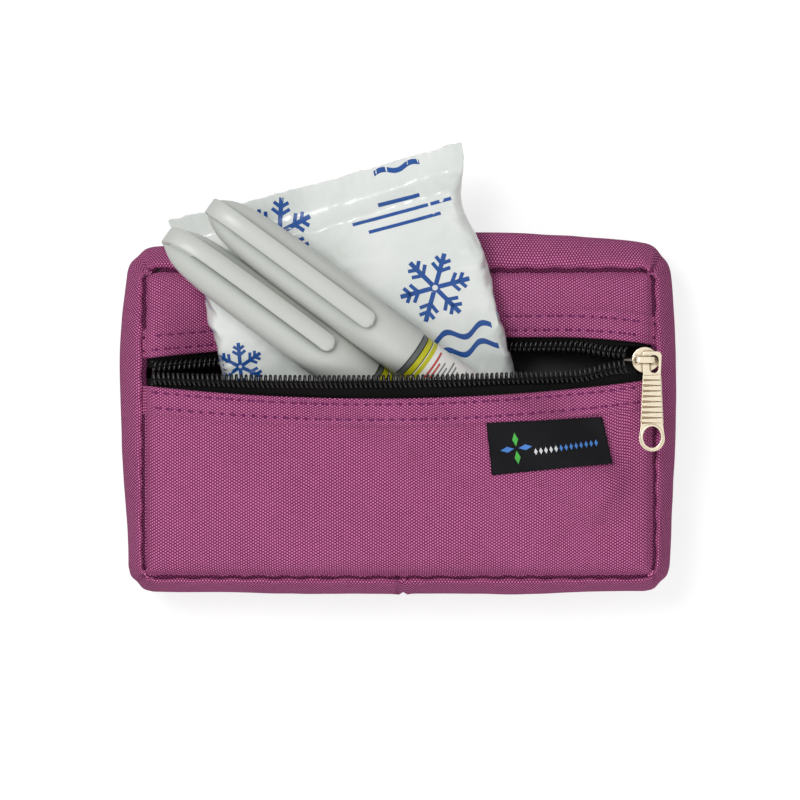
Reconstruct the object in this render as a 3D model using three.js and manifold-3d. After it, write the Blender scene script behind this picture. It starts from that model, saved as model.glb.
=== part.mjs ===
// A soft insulin cooling case, lying open on its back, with a gel cold pack and two pens in it.
// Millimetres. X runs along the zip, Y from the case's bottom to its top, Z out of its front.
// The origin is the centre of the flat back panel's outer face.
import * as THREE from 'three';
import Module from 'manifold-3d';
import { mergeVertices } from 'three/addons/utils/BufferGeometryUtils.js';

const wasm = await Module();
wasm.setup();

// Clearances
const touchGap = 0.3;
const runningGap = 0.35;
const cutOverrun = 1;
const weldTolerance = 0.0001;

// Case: the two seam lines, the band between them and the layers of the walls
const seam = {
  halfWidth: 82.8,
  corner: 4,
  rearTop: 51,
  rearBottom: -52,
  rearHeight: 3,
  frontTop: 47.3,
  frontBottom: -53.1,
  frontHeight: 38,
  shoulderDrop: 7,
  shoulderStart: 22,
};
const bandBulge = { left: 2.8, right: 2.3, top: 5, bottom: 1.1, corner: 4.6 };
const bandSkewShare = { side: 1.5, top: 0.66, bottom: 1 };
const bulgePower = 0.8;
const layers = { fabric: 0.9, foam: 2, lining: 0.6 };
const seamInset = layers.fabric + touchGap * 2;
const backRim = { width: 7, rise: 1.4 };

// Mouth: the fabric lips either side of the zip, and how the lower panel swells over the pens
const mouth = {
  endInset: 0.8,
  lowerEnd: 10.2,
  lowerSag: 5.2,
  lowerSagCentre: -8,
  upperPeak: 24.7,
  upperLeftDrop: 6.9,
  upperRightSpan: 32,
  upperRightDrop: 2.6,
};
const mouthEnd = seam.halfWidth - mouth.endInset;
const upperPeakX = mouthEnd - mouth.upperRightSpan;
const swell = { pillow: 5, sideReach: 22, bottomReach: 9, blend: 1.5, overPens: 1.4, skirt: 40 };
const upperRise = { leftFoot: -58, rightFoot: 36, rightInset: 8 };

// Zip: tapes, coil rows and slider
const tape = { thickness: 0.5, stand: 0.45, endShow: 2.2, middleShow: 5.4, upperShow: 3.1, endInset: 2.5 };
const coil = {
  seat: 0.8,
  width: 4,
  height: 1.5,
  tooth: 0.9,
  pitch: 1.57,
  startInset: 2.5,
  joinInset: 26,
  sliderGap: 0.5,
};
const slider = {
  inset: 3.3,
  rise: 2.3,
  y: 17.4,
  wideRadius: 4.1,
  narrowRadius: 3.1,
  noseStep: 1.7,
  plate: 0.95,
  channel: 1.9,
  flange: 0.9,
  postLength: 3.6,
  postWidth: 1.4,
};
const bail = { leftReach: 3.3, rightReach: 3.4, leg: 1, width: 1.9, bar: 1.2, opening: 1.8 };
const sliderX = mouthEnd - slider.inset;
const sliderZ = seam.frontHeight + slider.rise;
const coilRun = {
  start: coil.startInset - mouthEnd,
  join: mouthEnd - coil.joinInset,
  end: sliderX - slider.wideRadius - coil.sliderGap,
};
const pull = {
  thickness: 1.2,
  slotWidth: 2.9,
  slotAbove: 1.5,
  slotBelow: 4.2,
  eyeWall: 1.2,
  railLeft: 2.35,
  railRight: 0.95,
  neckWidth: 5.8,
  waistWidth: 7.2,
  footWidth: 8.3,
  below: 29.3,
  holeWidth: 5.8,
  holeLength: 6.9,
  holeRise: 4.6,
  ribs: 9,
  ribPitch: 1.55,
  ribWidth: 0.7,
  ribHeight: 0.3,
  ribTop: 5.6,
};

// Label: a plain woven patch sewn on the lower panel under the zip
const label = {
  inset: 17,
  width: 37.2,
  top: -0.8,
  bottom: -15.5,
  topDrop: 2.2,
  bottomDrop: 4,
  leftSlant: 1.9,
  rightSlant: 3.3,
  thickness: 0.5,
  stand: 1.1,
};

// Cold pack: two films sealed round a gel filling
const pack = {
  topWidth: 97.6,
  bottomWidth: 94.6,
  length: 112,
  crown: 5.2,
  film: 0.4,
  sealWidth: 4.2,
  wave: 0.45,
  lean: 15,
  climb: 10.6,
  centreX: -12.9,
  centreY: 21.8,
  centreZ: 29.1,
};
const packWaveShares = [5.3, 3.1, 7.9];
const underPack = 1.4;

// Pens: cap, needle end, cartridge, barrel and dose end
const pen = {
  heading: 36.5,
  climb: 8.6,
  spacing: 16,
  stepUp: 5.6,
  stagger: 5.7,
  capEndX: 3.1,
  capEndY: 19.7,
  overPack: 0.35,
  capLength: 79.7,
  capRadius: 8.3,
  capWall: 1.1,
  tipRadius: 2.2,
  taper: 37,
  barrelRadius: 7.65,
  collarRadius: 6.85,
  collarLength: 9,
  ringLength: 1.7,
  bandLength: 1.7,
  sleeveLength: 52,
  sleeveThickness: 0.3,
  knobLength: 13,
  knobRadius: 7.2,
  flutes: 20,
  buttonLength: 5,
  buttonRadius: 6.1,
  buttonTravel: 2.2,
  holderRadius: 6.2,
  holderWall: 1,
  holderLength: 54,
  neckRadius: 4.6,
  neckLength: 7,
  glassRadius: 4.8,
  glassWall: 0.9,
  glassLength: 46,
  stopperLength: 7,
  screwRadius: 2,
  screwLength: 58,
};
const clip = { width: 5.7, length: 63.7, thickness: 1.3, stand: 1.1, root: 9, heel: 6 };
const penRolls = { left: 18, right: 3.5 };
const penLength = pen.capLength + pen.ringLength + pen.bandLength + pen.sleeveLength + pen.knobLength
  + pen.buttonLength + touchGap * 4;

// Colours
const plum = 0x97547a;
const foamGrey = 0x55585c;
const liningBlack = 0x1b1a1c;
const zipBlack = 0x191819;
const nickel = 0xd8c9ae;
const filmWhite = 0xc7ced2;
const gelBlue = 0x9fc3d6;
const capGrey = 0xb9bbb6;
const darkGrey = 0x4a4e50;
const olive = 0xa8a62f;
const labelWhite = 0xe9e9e6;
const glassClear = 0xdfe8ea;
const rubberGrey = 0x6e6f72;

const radians = THREE.MathUtils.degToRad;
const mix = THREE.MathUtils.lerp;
const ease = THREE.MathUtils.smoothstep;
const wallDepth = layers.fabric + layers.foam + layers.lining + touchGap * 2;

// Solids

function signedVolume(points, faces) {
  let volume = 0;
  for (let i = 0; i < faces.length; i += 3) {
    const [a, b, c] = [points[faces[i]], points[faces[i + 1]], points[faces[i + 2]]];
    volume += a.dot(new THREE.Vector3().crossVectors(b, c));
  }
  return volume;
}

// A closed mesh from points and triangles, turned so that its faces point outwards
function closedGeometry(points, faces) {
  const outward = signedVolume(points, faces) > 0;
  const order = outward ? faces : faces.toReversed();
  const geometry = new THREE.BufferGeometry();
  const places = points.flatMap((point) => point.toArray());
  geometry.setAttribute('position', new THREE.Float32BufferAttribute(places, 3));
  geometry.setIndex(order);
  return geometry;
}

// A sheet with thickness between two grids of points; a closed one runs round into itself
function sheetGeometry(front, back, closed = false) {
  const rows = front.length;
  const columns = front[0].length;
  const lastRow = rows - 1;
  const spans = closed ? columns : columns - 1;
  const at = (side, row, column) => (side * rows + row) * columns + (column % columns);
  const faces = [];
  const quad = (a, b, c, d) => faces.push(a, b, c, a, c, d);
  for (let column = 0; column < spans; column += 1) {
    const next = column + 1;
    for (let row = 0; row < lastRow; row += 1) {
      quad(at(0, row, column), at(0, row, next), at(0, row + 1, next), at(0, row + 1, column));
      quad(at(1, row, column), at(1, row + 1, column), at(1, row + 1, next), at(1, row, next));
    }
    quad(at(0, 0, next), at(0, 0, column), at(1, 0, column), at(1, 0, next));
    quad(at(0, lastRow, column), at(0, lastRow, next), at(1, lastRow, next), at(1, lastRow, column));
  }
  for (let row = 0; row < lastRow && !closed; row += 1) {
    quad(at(0, row, 0), at(0, row + 1, 0), at(1, row + 1, 0), at(1, row, 0));
    quad(at(0, row + 1, spans), at(0, row, spans), at(1, row, spans), at(1, row + 1, spans));
  }
  return closedGeometry([...front.flat(), ...back.flat()], faces);
}

// A body drawn through a run of rings that all have the same number of points
function loftGeometry(rings) {
  const sides = rings[0].length;
  const faces = [];
  for (let i = 0; i < rings.length - 1; i += 1) {
    for (let k = 0; k < sides; k += 1) {
      const next = (k + 1) % sides;
      const [a, b, c, d] = [i * sides + k, i * sides + next, (i + 1) * sides + next, (i + 1) * sides + k];
      faces.push(a, b, c, a, c, d);
    }
  }
  const last = (rings.length - 1) * sides;
  for (let k = 1; k < sides - 1; k += 1) {
    faces.push(0, k + 1, k);
    faces.push(last, last + k, last + k + 1);
  }
  return closedGeometry(rings.flat(), faces);
}

// The outward normal of a surface given by two shares
const probeShare = 0.002;
function normalAt(surface, u, v) {
  const along = surface(u + probeShare, v).sub(surface(u - probeShare, v));
  const across = surface(u, v + probeShare).sub(surface(u, v - probeShare));
  return along.cross(across).normalize();
}

// One layer of a wall: a sheet that starts at a depth under the outer surface
function layerGeometry(surface, columns, rows, depth, thickness, closed = false) {
  const grid = (below) => rows.map((v) => columns.map(
    (u) => surface(u, v).addScaledVector(normalAt(surface, u, v), -below),
  ));
  return sheetGeometry(grid(depth), grid(depth + thickness), closed);
}

function toManifold(geometry) {
  const bare = geometry.clone();
  bare.deleteAttribute('normal');
  bare.deleteAttribute('uv');
  const merged = mergeVertices(bare, weldTolerance);
  return new wasm.Manifold(new wasm.Mesh({
    numProp: 3,
    vertProperties: Float32Array.from(merged.attributes.position.array),
    triVerts: Uint32Array.from(merged.index.array),
  }));
}

function fromManifold(solid) {
  const mesh = solid.getMesh();
  const geometry = new THREE.BufferGeometry();
  geometry.setAttribute('position', new THREE.Float32BufferAttribute(mesh.vertProperties, mesh.numProp));
  geometry.setIndex(Array.from(mesh.triVerts));
  return geometry;
}

function joined(first, ...others) {
  return others.reduce((sum, next) => sum.add(toManifold(next)), toManifold(first));
}

const curveSteps = { fine: 10, coarse: 8, rough: 4 };

function prism(shape, depth, curveSegments = curveSteps.fine) {
  return new THREE.ExtrudeGeometry(shape, { depth, bevelEnabled: false, curveSegments });
}

function box(width, length, height, x = 0, y = 0, z = 0) {
  return new THREE.BoxGeometry(width, length, height).translate(x, y, z);
}

// A turned body round the Y axis, from [radius, height] points that close on the axis or themselves
function turned(profile, segments) {
  const outline = profile.map(([radius, height]) => new THREE.Vector2(radius, height));
  const bare = new THREE.LatheGeometry(outline, segments);
  bare.deleteAttribute('normal');
  bare.deleteAttribute('uv');
  const merged = mergeVertices(bare, weldTolerance);
  const places = merged.attributes.position;
  const pointAt = (_, i) => new THREE.Vector3().fromBufferAttribute(places, i);
  const points = Array.from({ length: places.count }, pointAt);
  const index = Array.from(merged.index.array);
  const faces = [];
  for (let i = 0; i < index.length; i += 3) {
    const corners = index.slice(i, i + 3);
    if (new Set(corners).size === 3) {
      faces.push(...corners);
    }
  }
  return closedGeometry(points, faces);
}

const model = new THREE.Group();

function addPiece(parent, name, geometry, color, roughness, metalness = 0) {
  const material = new THREE.MeshStandardMaterial({ color, roughness, metalness });
  const mesh = new THREE.Mesh(geometry, material);
  mesh.name = name;
  parent.add(mesh);
  return mesh;
}

const evenShares = (count) => Array.from({ length: count + 1 }, (_, i) => i / count);
const inner = (shares, from = 1, to = 1) => shares.slice(from, shares.length - to);

// Places of the pens and the pack, which the front panels follow

const packFrame = (() => {
  const climb = radians(pack.climb);
  const lean = radians(pack.lean);
  const flat = Math.cos(climb);
  const up = new THREE.Vector3(-Math.sin(lean) * flat, Math.cos(lean) * flat, Math.sin(climb));
  const side = new THREE.Vector3(Math.cos(lean), Math.sin(lean), 0);
  const normal = new THREE.Vector3().crossVectors(side, up);
  const centre = new THREE.Vector3(pack.centreX, pack.centreY, pack.centreZ);
  return { side, up, normal, centre };
})();

// Height of the pack's middle plane, or of a plane beside it, over a point of the plan
function packPlane(x, y, offset = 0) {
  const { normal, centre } = packFrame;
  const slide = (x - centre.x) * normal.x + (y - centre.y) * normal.y;
  return centre.z + (offset - slide) / normal.z;
}

// A pen's frame: Y along it towards the cap's tip, Z out through the clip; its origin is the cap's open end
function penFrame(place, roll) {
  const heading = radians(pen.heading);
  const climb = radians(pen.climb);
  const along = new THREE.Vector3(
    -Math.cos(heading) * Math.cos(climb),
    Math.sin(heading) * Math.cos(climb),
    Math.sin(climb),
  );
  const across = new THREE.Vector3(Math.sin(heading), Math.cos(heading), 0);
  const up = new THREE.Vector3().crossVectors(across, along);
  const turn = radians(roll);
  const side = across.clone().multiplyScalar(Math.cos(turn)).addScaledVector(up, -Math.sin(turn));
  const out = up.clone().multiplyScalar(Math.cos(turn)).addScaledVector(across, Math.sin(turn));
  return { place, along, across, side, out };
}

const penFrames = (() => {
  const heading = radians(pen.heading);
  const down = new THREE.Vector2(Math.cos(heading), -Math.sin(heading));
  const across = new THREE.Vector2(Math.sin(heading), Math.cos(heading));
  const rightEnd = new THREE.Vector2(pen.capEndX, pen.capEndY);
  const leftEnd = rightEnd.clone().addScaledVector(across, -pen.spacing);
  leftEnd.addScaledVector(down, -pen.stagger);
  const lift = pack.crown + pen.overPack + pen.capRadius;
  const leftHeight = packPlane(leftEnd.x, leftEnd.y, lift);
  const fall = Math.tan(radians(pen.climb));
  const rightHeight = leftHeight - pen.stagger * fall + pen.stepUp;
  return {
    left: penFrame(new THREE.Vector3(leftEnd.x, leftEnd.y, leftHeight), penRolls.left),
    right: penFrame(new THREE.Vector3(rightEnd.x, rightEnd.y, rightHeight), penRolls.right),
  };
})();

// The front of the case

const lowerLip = (x) => {
  const share = (x - mouth.lowerSagCentre) / mouthEnd;
  return mouth.lowerEnd - mouth.lowerSag * (1 - share * share);
};

const upperLip = (x) => {
  const right = x > upperPeakX;
  const share = (x - upperPeakX) / (right ? mouth.upperRightSpan : mouthEnd + upperPeakX);
  return mouth.upperPeak - (right ? mouth.upperRightDrop : mouth.upperLeftDrop) * share * share;
};

const softMax = (values, blend) => {
  const top = Math.max(...values);
  return top + blend * Math.log(values.reduce((sum, value) => sum + Math.exp((value - top) / blend), 0));
};

// Height of the cloth that lies over one pen: round over the barrel, then falling straight away
function overPen(frame, x, y) {
  const radius = pen.barrelRadius + swell.overPens + wallDepth;
  const flat = Math.cos(radians(pen.climb));
  const dx = x - frame.place.x;
  const dy = y - frame.place.y;
  const along = (dx * frame.along.x + dy * frame.along.y) / flat;
  const sideways = Math.abs(dx * frame.across.x + dy * frame.across.y);
  const axisHeight = frame.place.z + along * Math.tan(radians(pen.climb));
  const skirt = radians(swell.skirt);
  const shoulder = radius * Math.sin(skirt);
  const past = Math.max(0, -along - (penLength - pen.capLength));
  const drop = (past + Math.max(0, sideways - shoulder)) * Math.tan(skirt);
  return axisHeight + Math.sqrt(radius ** 2 - Math.min(sideways, shoulder) ** 2) - drop;
}

function lowerHeight(x, y) {
  const sideDistance = Math.max(0, seam.halfWidth - Math.abs(x));
  const bottomDistance = Math.max(0, y - seam.frontBottom);
  const sideShare = 1 - Math.exp(-sideDistance / swell.sideReach);
  const bottomShare = 1 - Math.exp(-bottomDistance / swell.bottomReach);
  const pillow = seam.frontHeight + swell.pillow * sideShare * bottomShare;
  return softMax([pillow, overPen(penFrames.left, x, y), overPen(penFrames.right, x, y)], swell.blend);
}

function upperHeight(x, y) {
  const floor = packPlane(x, y, -pack.crown - underPack);
  const edge = seam.frontHeight - seam.shoulderDrop * ease(y, seam.shoulderStart, seam.frontTop);
  const left = 1 - ease(x, -mouthEnd, upperRise.leftFoot);
  const right = ease(x, upperRise.rightFoot, mouthEnd - upperRise.rightInset);
  return mix(floor, edge, Math.max(left, right));
}

// Half the width of a rounded outline at a height between its bottom and top
function halfWidthAt(y, bottom, top, halfWidth, corner) {
  const edge = Math.min(y - bottom, top - y);
  const inside = Math.max(0, corner - Math.max(0, edge));
  return halfWidth - corner + Math.sqrt(Math.max(0, corner ** 2 - inside ** 2));
}

const insideWidth = seam.halfWidth - seamInset;
const insideCorner = seam.corner - seamInset;
const acrossX = (u, y, bottom, top) => (
  (2 * u - 1) * halfWidthAt(y, bottom, top, insideWidth, insideCorner)
);

// Lower front panel: u runs left to right, v from the bottom seam to the lip
function lowerPanel(u, v) {
  const bottom = seam.frontBottom + seamInset;
  const y = mix(bottom, lowerLip((2 * u - 1) * insideWidth), v);
  const x = acrossX(u, y, bottom, seam.frontTop);
  return new THREE.Vector3(x, y, lowerHeight(x, y));
}

// Upper front panel: v runs from the lip to the top seam
function upperPanel(u, v) {
  const top = seam.frontTop - seamInset;
  const y = mix(upperLip((2 * u - 1) * insideWidth), top, v);
  const x = acrossX(u, y, seam.frontBottom, top);
  return new THREE.Vector3(x, y, upperHeight(x, y));
}

// Back panel: flat, with its rim lifted towards the rear seam; u runs right to left
function backPanel(u, v) {
  const bottom = seam.rearBottom + seamInset;
  const top = seam.rearTop - seamInset;
  const y = mix(bottom, top, v);
  const x = acrossX(1 - u, y, bottom, top);
  const edge = Math.min(insideWidth - Math.abs(x), y - bottom, top - y);
  return new THREE.Vector3(x, y, backRim.rise * (1 - ease(edge, 0, backRim.width)));
}

// Side band: u runs round the case from the middle of its bottom, v from the rear seam to the front
const bandSteps = [6, 2, 8, 2, 12, 2, 8, 2, 6];
const bandCount = bandSteps.reduce((sum, steps) => sum + steps, 0);

function outlinePoint(u, bottom, top) {
  const straightX = seam.halfWidth - seam.corner;
  const [low, high] = [bottom + seam.corner, top - seam.corner];
  let step = (((u % 1) + 1) % 1) * bandCount;
  let part = 0;
  while (step > bandSteps[part]) {
    step -= bandSteps[part];
    part += 1;
  }
  const share = step / bandSteps[part];
  const arc = (x, y, quarter) => {
    const angle = (quarter + share) * (Math.PI / 2);
    const out = new THREE.Vector2(Math.cos(angle), Math.sin(angle));
    return { point: new THREE.Vector2(x, y).addScaledVector(out, seam.corner), out };
  };
  const line = (x0, y0, x1, y1, outX, outY) => (
    { point: new THREE.Vector2(mix(x0, x1, share), mix(y0, y1, share)), out: new THREE.Vector2(outX, outY) }
  );
  const parts = [
    () => line(0, bottom, straightX, bottom, 0, -1),
    () => arc(straightX, low, -1),
    () => line(seam.halfWidth, low, seam.halfWidth, high, 1, 0),
    () => arc(straightX, high, 0),
    () => line(straightX, top, -straightX, top, 0, 1),
    () => arc(-straightX, high, 1),
    () => line(-seam.halfWidth, high, -seam.halfWidth, low, -1, 0),
    () => arc(-straightX, low, 2),
    () => line(-straightX, bottom, 0, bottom, 0, -1),
  ];
  return parts[part]();
}

function hump(share, skew = 1) {
  const kept = THREE.MathUtils.clamp(share, 0, 1);
  return Math.sin(Math.PI * kept ** skew) ** bulgePower;
}

function sideBand(u, v) {
  const t = THREE.MathUtils.clamp(v, 0, 1);
  const rear = outlinePoint(u, seam.rearBottom, seam.rearTop);
  const front = outlinePoint(u, seam.frontBottom, seam.frontTop);
  const { x, y } = front.point;
  const side = front.out.x > 0 ? bandBulge.right : bandBulge.left;
  const end = front.out.y > 0 ? bandBulge.top : bandBulge.bottom;
  const skew = front.out.y > 0 ? bandSkewShare.top : bandSkewShare.bottom;
  const upShare = (y - seam.frontBottom) / (seam.frontTop - seam.frontBottom);
  const overShare = (x + seam.halfWidth) / (2 * seam.halfWidth);
  const overHump = front.out.y > 0 ? hump(1 - overShare, skew) : hump(overShare);
  const sideBulge = side * front.out.x ** 2 * hump(upShare, bandSkewShare.side);
  const amount = bandBulge.corner + sideBulge + end * front.out.y ** 2 * overHump;
  const plan = rear.point.lerp(front.point, t).addScaledVector(front.out, amount * Math.sin(Math.PI * t));
  const frontHeight = y > mouth.upperPeak ? upperHeight(x, y) : seam.frontHeight;
  return new THREE.Vector3(plan.x, plan.y, mix(seam.rearHeight, frontHeight, v));
}

const caseGroup = new THREE.Group();
model.add(caseGroup);

// Shares of the panels' widths and lengths where the walls are bent
const spread = (from, to, count) => evenShares(count).map((share) => mix(from, to, share));
const lowerTuckShare = 0.95;
const upperTuckShare = 0.1;
const lowerColumnShares = [0, 0.024, ...spread(0.06, 0.94, 20), 0.976, 1];
const lowerRowShares = [0, 0.024, 0.075, ...spread(0.16, 0.85, 5), lowerTuckShare, 1];
const upperColumnShares = [0, 0.024, ...spread(0.07, 0.93, 12), 0.976, 1];
const upperRowShares = [0, upperTuckShare, 0.34, 0.6, 0.86, 0.95, 1];
const backColumnShares = [0, 0.024, 0.045, ...spread(0.09, 0.91, 3), 0.955, 0.976, 1];
const backRowShares = [0, 0.03, 0.075, ...spread(0.15, 0.85, 3), 0.925, 0.97, 1];
const bandColumnShares = Array.from({ length: bandCount }, (_, i) => i / bandCount);
const bandRowShares = [0, 0.13, 0.36, 0.62, 0.84, 1];

const foamDepth = layers.fabric + touchGap;
const liningDepth = foamDepth + layers.foam + touchGap;

// A wall of the case: its cloth, and under it the foam and the lining, which stop short of the seams
function addWall(name, surface, columns, rows, innerRows, closed = false) {
  const innerColumns = closed ? columns : inner(columns);
  const sheet = (across, up, depth, thickness) => (
    layerGeometry(surface, across, up, depth, thickness, closed)
  );
  addPiece(caseGroup, `${name}_cloth`, sheet(columns, rows, 0, layers.fabric), plum, 0.85);
  const foam = sheet(innerColumns, innerRows, foamDepth, layers.foam);
  addPiece(caseGroup, `${name}_foam`, foam, foamGrey, 0.95);
  const lining = sheet(innerColumns, innerRows, liningDepth, layers.lining);
  addPiece(caseGroup, `${name}_lining`, lining, liningBlack, 0.6);
}

addWall('back', backPanel, backColumnShares, backRowShares, inner(backRowShares));
addWall('band', sideBand, bandColumnShares, bandRowShares, inner(bandRowShares), true);
addWall('lower', lowerPanel, lowerColumnShares, lowerRowShares, inner(lowerRowShares, 2, 2));
addWall('upper', upperPanel, upperColumnShares, upperRowShares, inner(upperRowShares, 2, 1));

// Zip

const coilShow = (x) => tape.endShow + (tape.middleShow - tape.endShow) * (1 - (x / seam.halfWidth) ** 2);
const sliderSide = slider.wideRadius + touchGap;
const coilDraw = (x) => ease(x, coilRun.join, coilRun.end);

// The two sides of the mouth: the fabric lip, the coil row's middle, the tape's edge and the height
const zipSides = {
  lower: {
    hidden: (x) => mix(seam.frontBottom + seamInset, lowerLip(x), lowerTuckShare),
    height: lowerHeight,
    columns: lowerColumnShares,
    toMouth: 1,
    row: (x) => mix(
      lowerLip(x) + coilShow(x),
      slider.y - coil.width / 2 - touchGap / 2,
      coilDraw(x),
    ),
    edge: (x) => Math.min(lowerLip(x) + coilShow(x), slider.y - sliderSide),
  },
  upper: {
    hidden: (x) => mix(upperLip(x), seam.frontTop - seamInset, upperTuckShare),
    height: upperHeight,
    columns: upperColumnShares,
    toMouth: -1,
    row: (x) => mix(
      upperLip(x) - tape.upperShow,
      slider.y + coil.width / 2 + touchGap / 2,
      coilDraw(x),
    ),
    edge: (x) => (x > coilRun.join - coil.width
      ? Math.max(upperLip(x) - tape.upperShow, slider.y + sliderSide)
      : upperLip(x) - tape.upperShow),
  },
};

const tapeDepth = layers.fabric + tape.stand;
const tapeEndShare = tape.endInset / (2 * insideWidth);

// A tape starts under the cloth, at one of the cloth's own bends, and ends under the coil
function tapeGeometry(side) {
  const surface = (u, v) => {
    const x = (2 * u - 1) * insideWidth;
    const y = mix(side.hidden(x), side.edge(x), side.toMouth > 0 ? v : 1 - v);
    return new THREE.Vector3(x, y, side.height(x, y));
  };
  const columns = [tapeEndShare, ...inner(side.columns), 1 - tapeEndShare];
  return layerGeometry(surface, columns, evenShares(2), tapeDepth, tape.thickness);
}

// Height of the coil row's middle line, straight between the tape's bends
function rowHeight(side, x) {
  const share = (x / insideWidth + 1) / 2;
  const next = Math.max(1, side.columns.findIndex((column) => column >= share));
  const ends = [side.columns[next - 1], side.columns[next]];
  const [x0, x1] = ends.map((column) => (2 * column - 1) * insideWidth);
  return mix(side.height(x0, side.row(x0)), side.height(x1, side.row(x1)), (x - x0) / (x1 - x0));
}

// A row of the coil: its width swells at each loop, on the side that faces the mouth
function coilGeometry(side, start, end) {
  const loops = Math.round((end - start) / coil.pitch);
  const bottomDepth = tapeDepth - coil.seat;
  const rings = Array.from({ length: loops * 2 + 1 }, (_, i) => {
    const x = mix(start, end, i / (loops * 2));
    const middle = side.row(x);
    const back = middle - side.toMouth * (coil.width / 2);
    const tooth = i % 2 ? 0 : coil.tooth;
    const front = middle + side.toMouth * (coil.width / 2 - tooth);
    const bottom = rowHeight(side, x) - bottomDepth;
    const top = bottom + coil.height;
    return [[back, bottom], [front, bottom], [front, top], [back, top]].map(
      ([y, z]) => new THREE.Vector3(x, y, z),
    );
  });
  return loftGeometry(rings);
}

for (const [name, side] of Object.entries(zipSides)) {
  addPiece(caseGroup, `${name}_tape`, tapeGeometry(side), zipBlack, 0.9);
  addPiece(caseGroup, `${name}_coil`, coilGeometry(side, coilRun.start, coilRun.join), zipBlack, 0.45);
  const free = coilGeometry(side, coilRun.join + touchGap, coilRun.end);
  addPiece(caseGroup, `${name}_coil_end`, free, zipBlack, 0.45);
}

// Label: it lies on the lower panel and follows its swell
function labelSurface(u, v) {
  const edge = mouthEnd - label.inset;
  const left = edge - label.width + label.leftSlant * (1 - v);
  const right = edge + label.rightSlant * (1 - v);
  const x = mix(left, right, u);
  const y = mix(label.bottom, label.top, v) - mix(label.bottomDrop, label.topDrop, v) * (1 - u);
  return new THREE.Vector3(x, y, lowerHeight(x, y));
}
const labelRise = label.stand + label.thickness;
const labelSheet = layerGeometry(labelSurface, evenShares(10), evenShares(5), -labelRise, label.thickness);
addPiece(caseGroup, 'woven_label', labelSheet, zipBlack, 0.8);

// Slider: two plates held by a post, with side lips that keep the coil in
const sliderGroup = new THREE.Group();
sliderGroup.position.set(sliderX, slider.y, sliderZ);
model.add(sliderGroup);

function plateShape() {
  const shape = new THREE.Shape();
  const turn = Math.PI / 3;
  shape.absarc(0, 0, slider.wideRadius, turn, Math.PI * 2 - turn, false);
  shape.absarc(slider.noseStep, 0, slider.narrowRadius, -turn, turn, false);
  return shape;
}

function sliderGeometry() {
  const half = slider.channel / 2;
  const upper = prism(plateShape(), slider.plate).translate(0, 0, half);
  const lower = prism(plateShape(), slider.plate).translate(0, 0, -half - slider.plate);
  const post = new THREE.Shape();
  post.moveTo(-slider.wideRadius + slider.plate, 0);
  post.lineTo(-slider.wideRadius + slider.postLength, -slider.postWidth / 2);
  post.lineTo(-slider.wideRadius + slider.postLength, slider.postWidth / 2);
  const postHeight = slider.channel + slider.plate;
  const postBody = prism(post, postHeight).translate(0, 0, -postHeight / 2);
  const ring = toManifold(upper).add(toManifold(lower)).add(toManifold(postBody));
  const reach = slider.wideRadius * 2;
  const flangeBlock = prism(plateShape(), postHeight).translate(0, 0, -postHeight / 2);
  const spine = box(reach * 2, (slider.narrowRadius - slider.flange) * 2, reach);
  const front = box(reach, reach * 2, reach, -reach / 2 + slider.plate, 0, 0);
  const flanges = toManifold(flangeBlock).subtract(toManifold(spine)).subtract(toManifold(front));
  return fromManifold(ring.add(flanges));
}

function bailGeometry() {
  const floor = slider.channel / 2 + slider.plate + touchGap;
  const top = floor + bail.opening + bail.bar;
  const shape = new THREE.Shape();
  const [left, right] = [-bail.leftReach, bail.rightReach];
  shape.moveTo(left, floor);
  shape.lineTo(left + bail.leg, floor);
  shape.lineTo(left + bail.leg, top - bail.bar);
  shape.lineTo(right - bail.leg, top - bail.bar);
  shape.lineTo(right - bail.leg, floor);
  shape.lineTo(right, floor);
  shape.lineTo(right, top - bail.bar);
  shape.absarc(right - bail.bar, top - bail.bar, bail.bar, 0, Math.PI / 2, false);
  shape.absarc(left + bail.bar, top - bail.bar, bail.bar, Math.PI / 2, Math.PI, false);
  return prism(shape, bail.width, curveSteps.rough).rotateX(Math.PI / 2).translate(0, bail.width / 2, 0);
}

addPiece(sliderGroup, 'slider_body', sliderGeometry(), nickel, 0.3, 0.9);
addPiece(sliderGroup, 'slider_bail', bailGeometry(), nickel, 0.3, 0.9);

// Pull: a ribbed tab whose slot goes round the bail's right leg
const pullPivot = bail.rightReach - bail.leg / 2;
const pullGroup = new THREE.Group();
pullGroup.position.set(pullPivot, 0, slider.channel / 2 + slider.plate + touchGap * 2);
sliderGroup.add(pullGroup);

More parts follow.
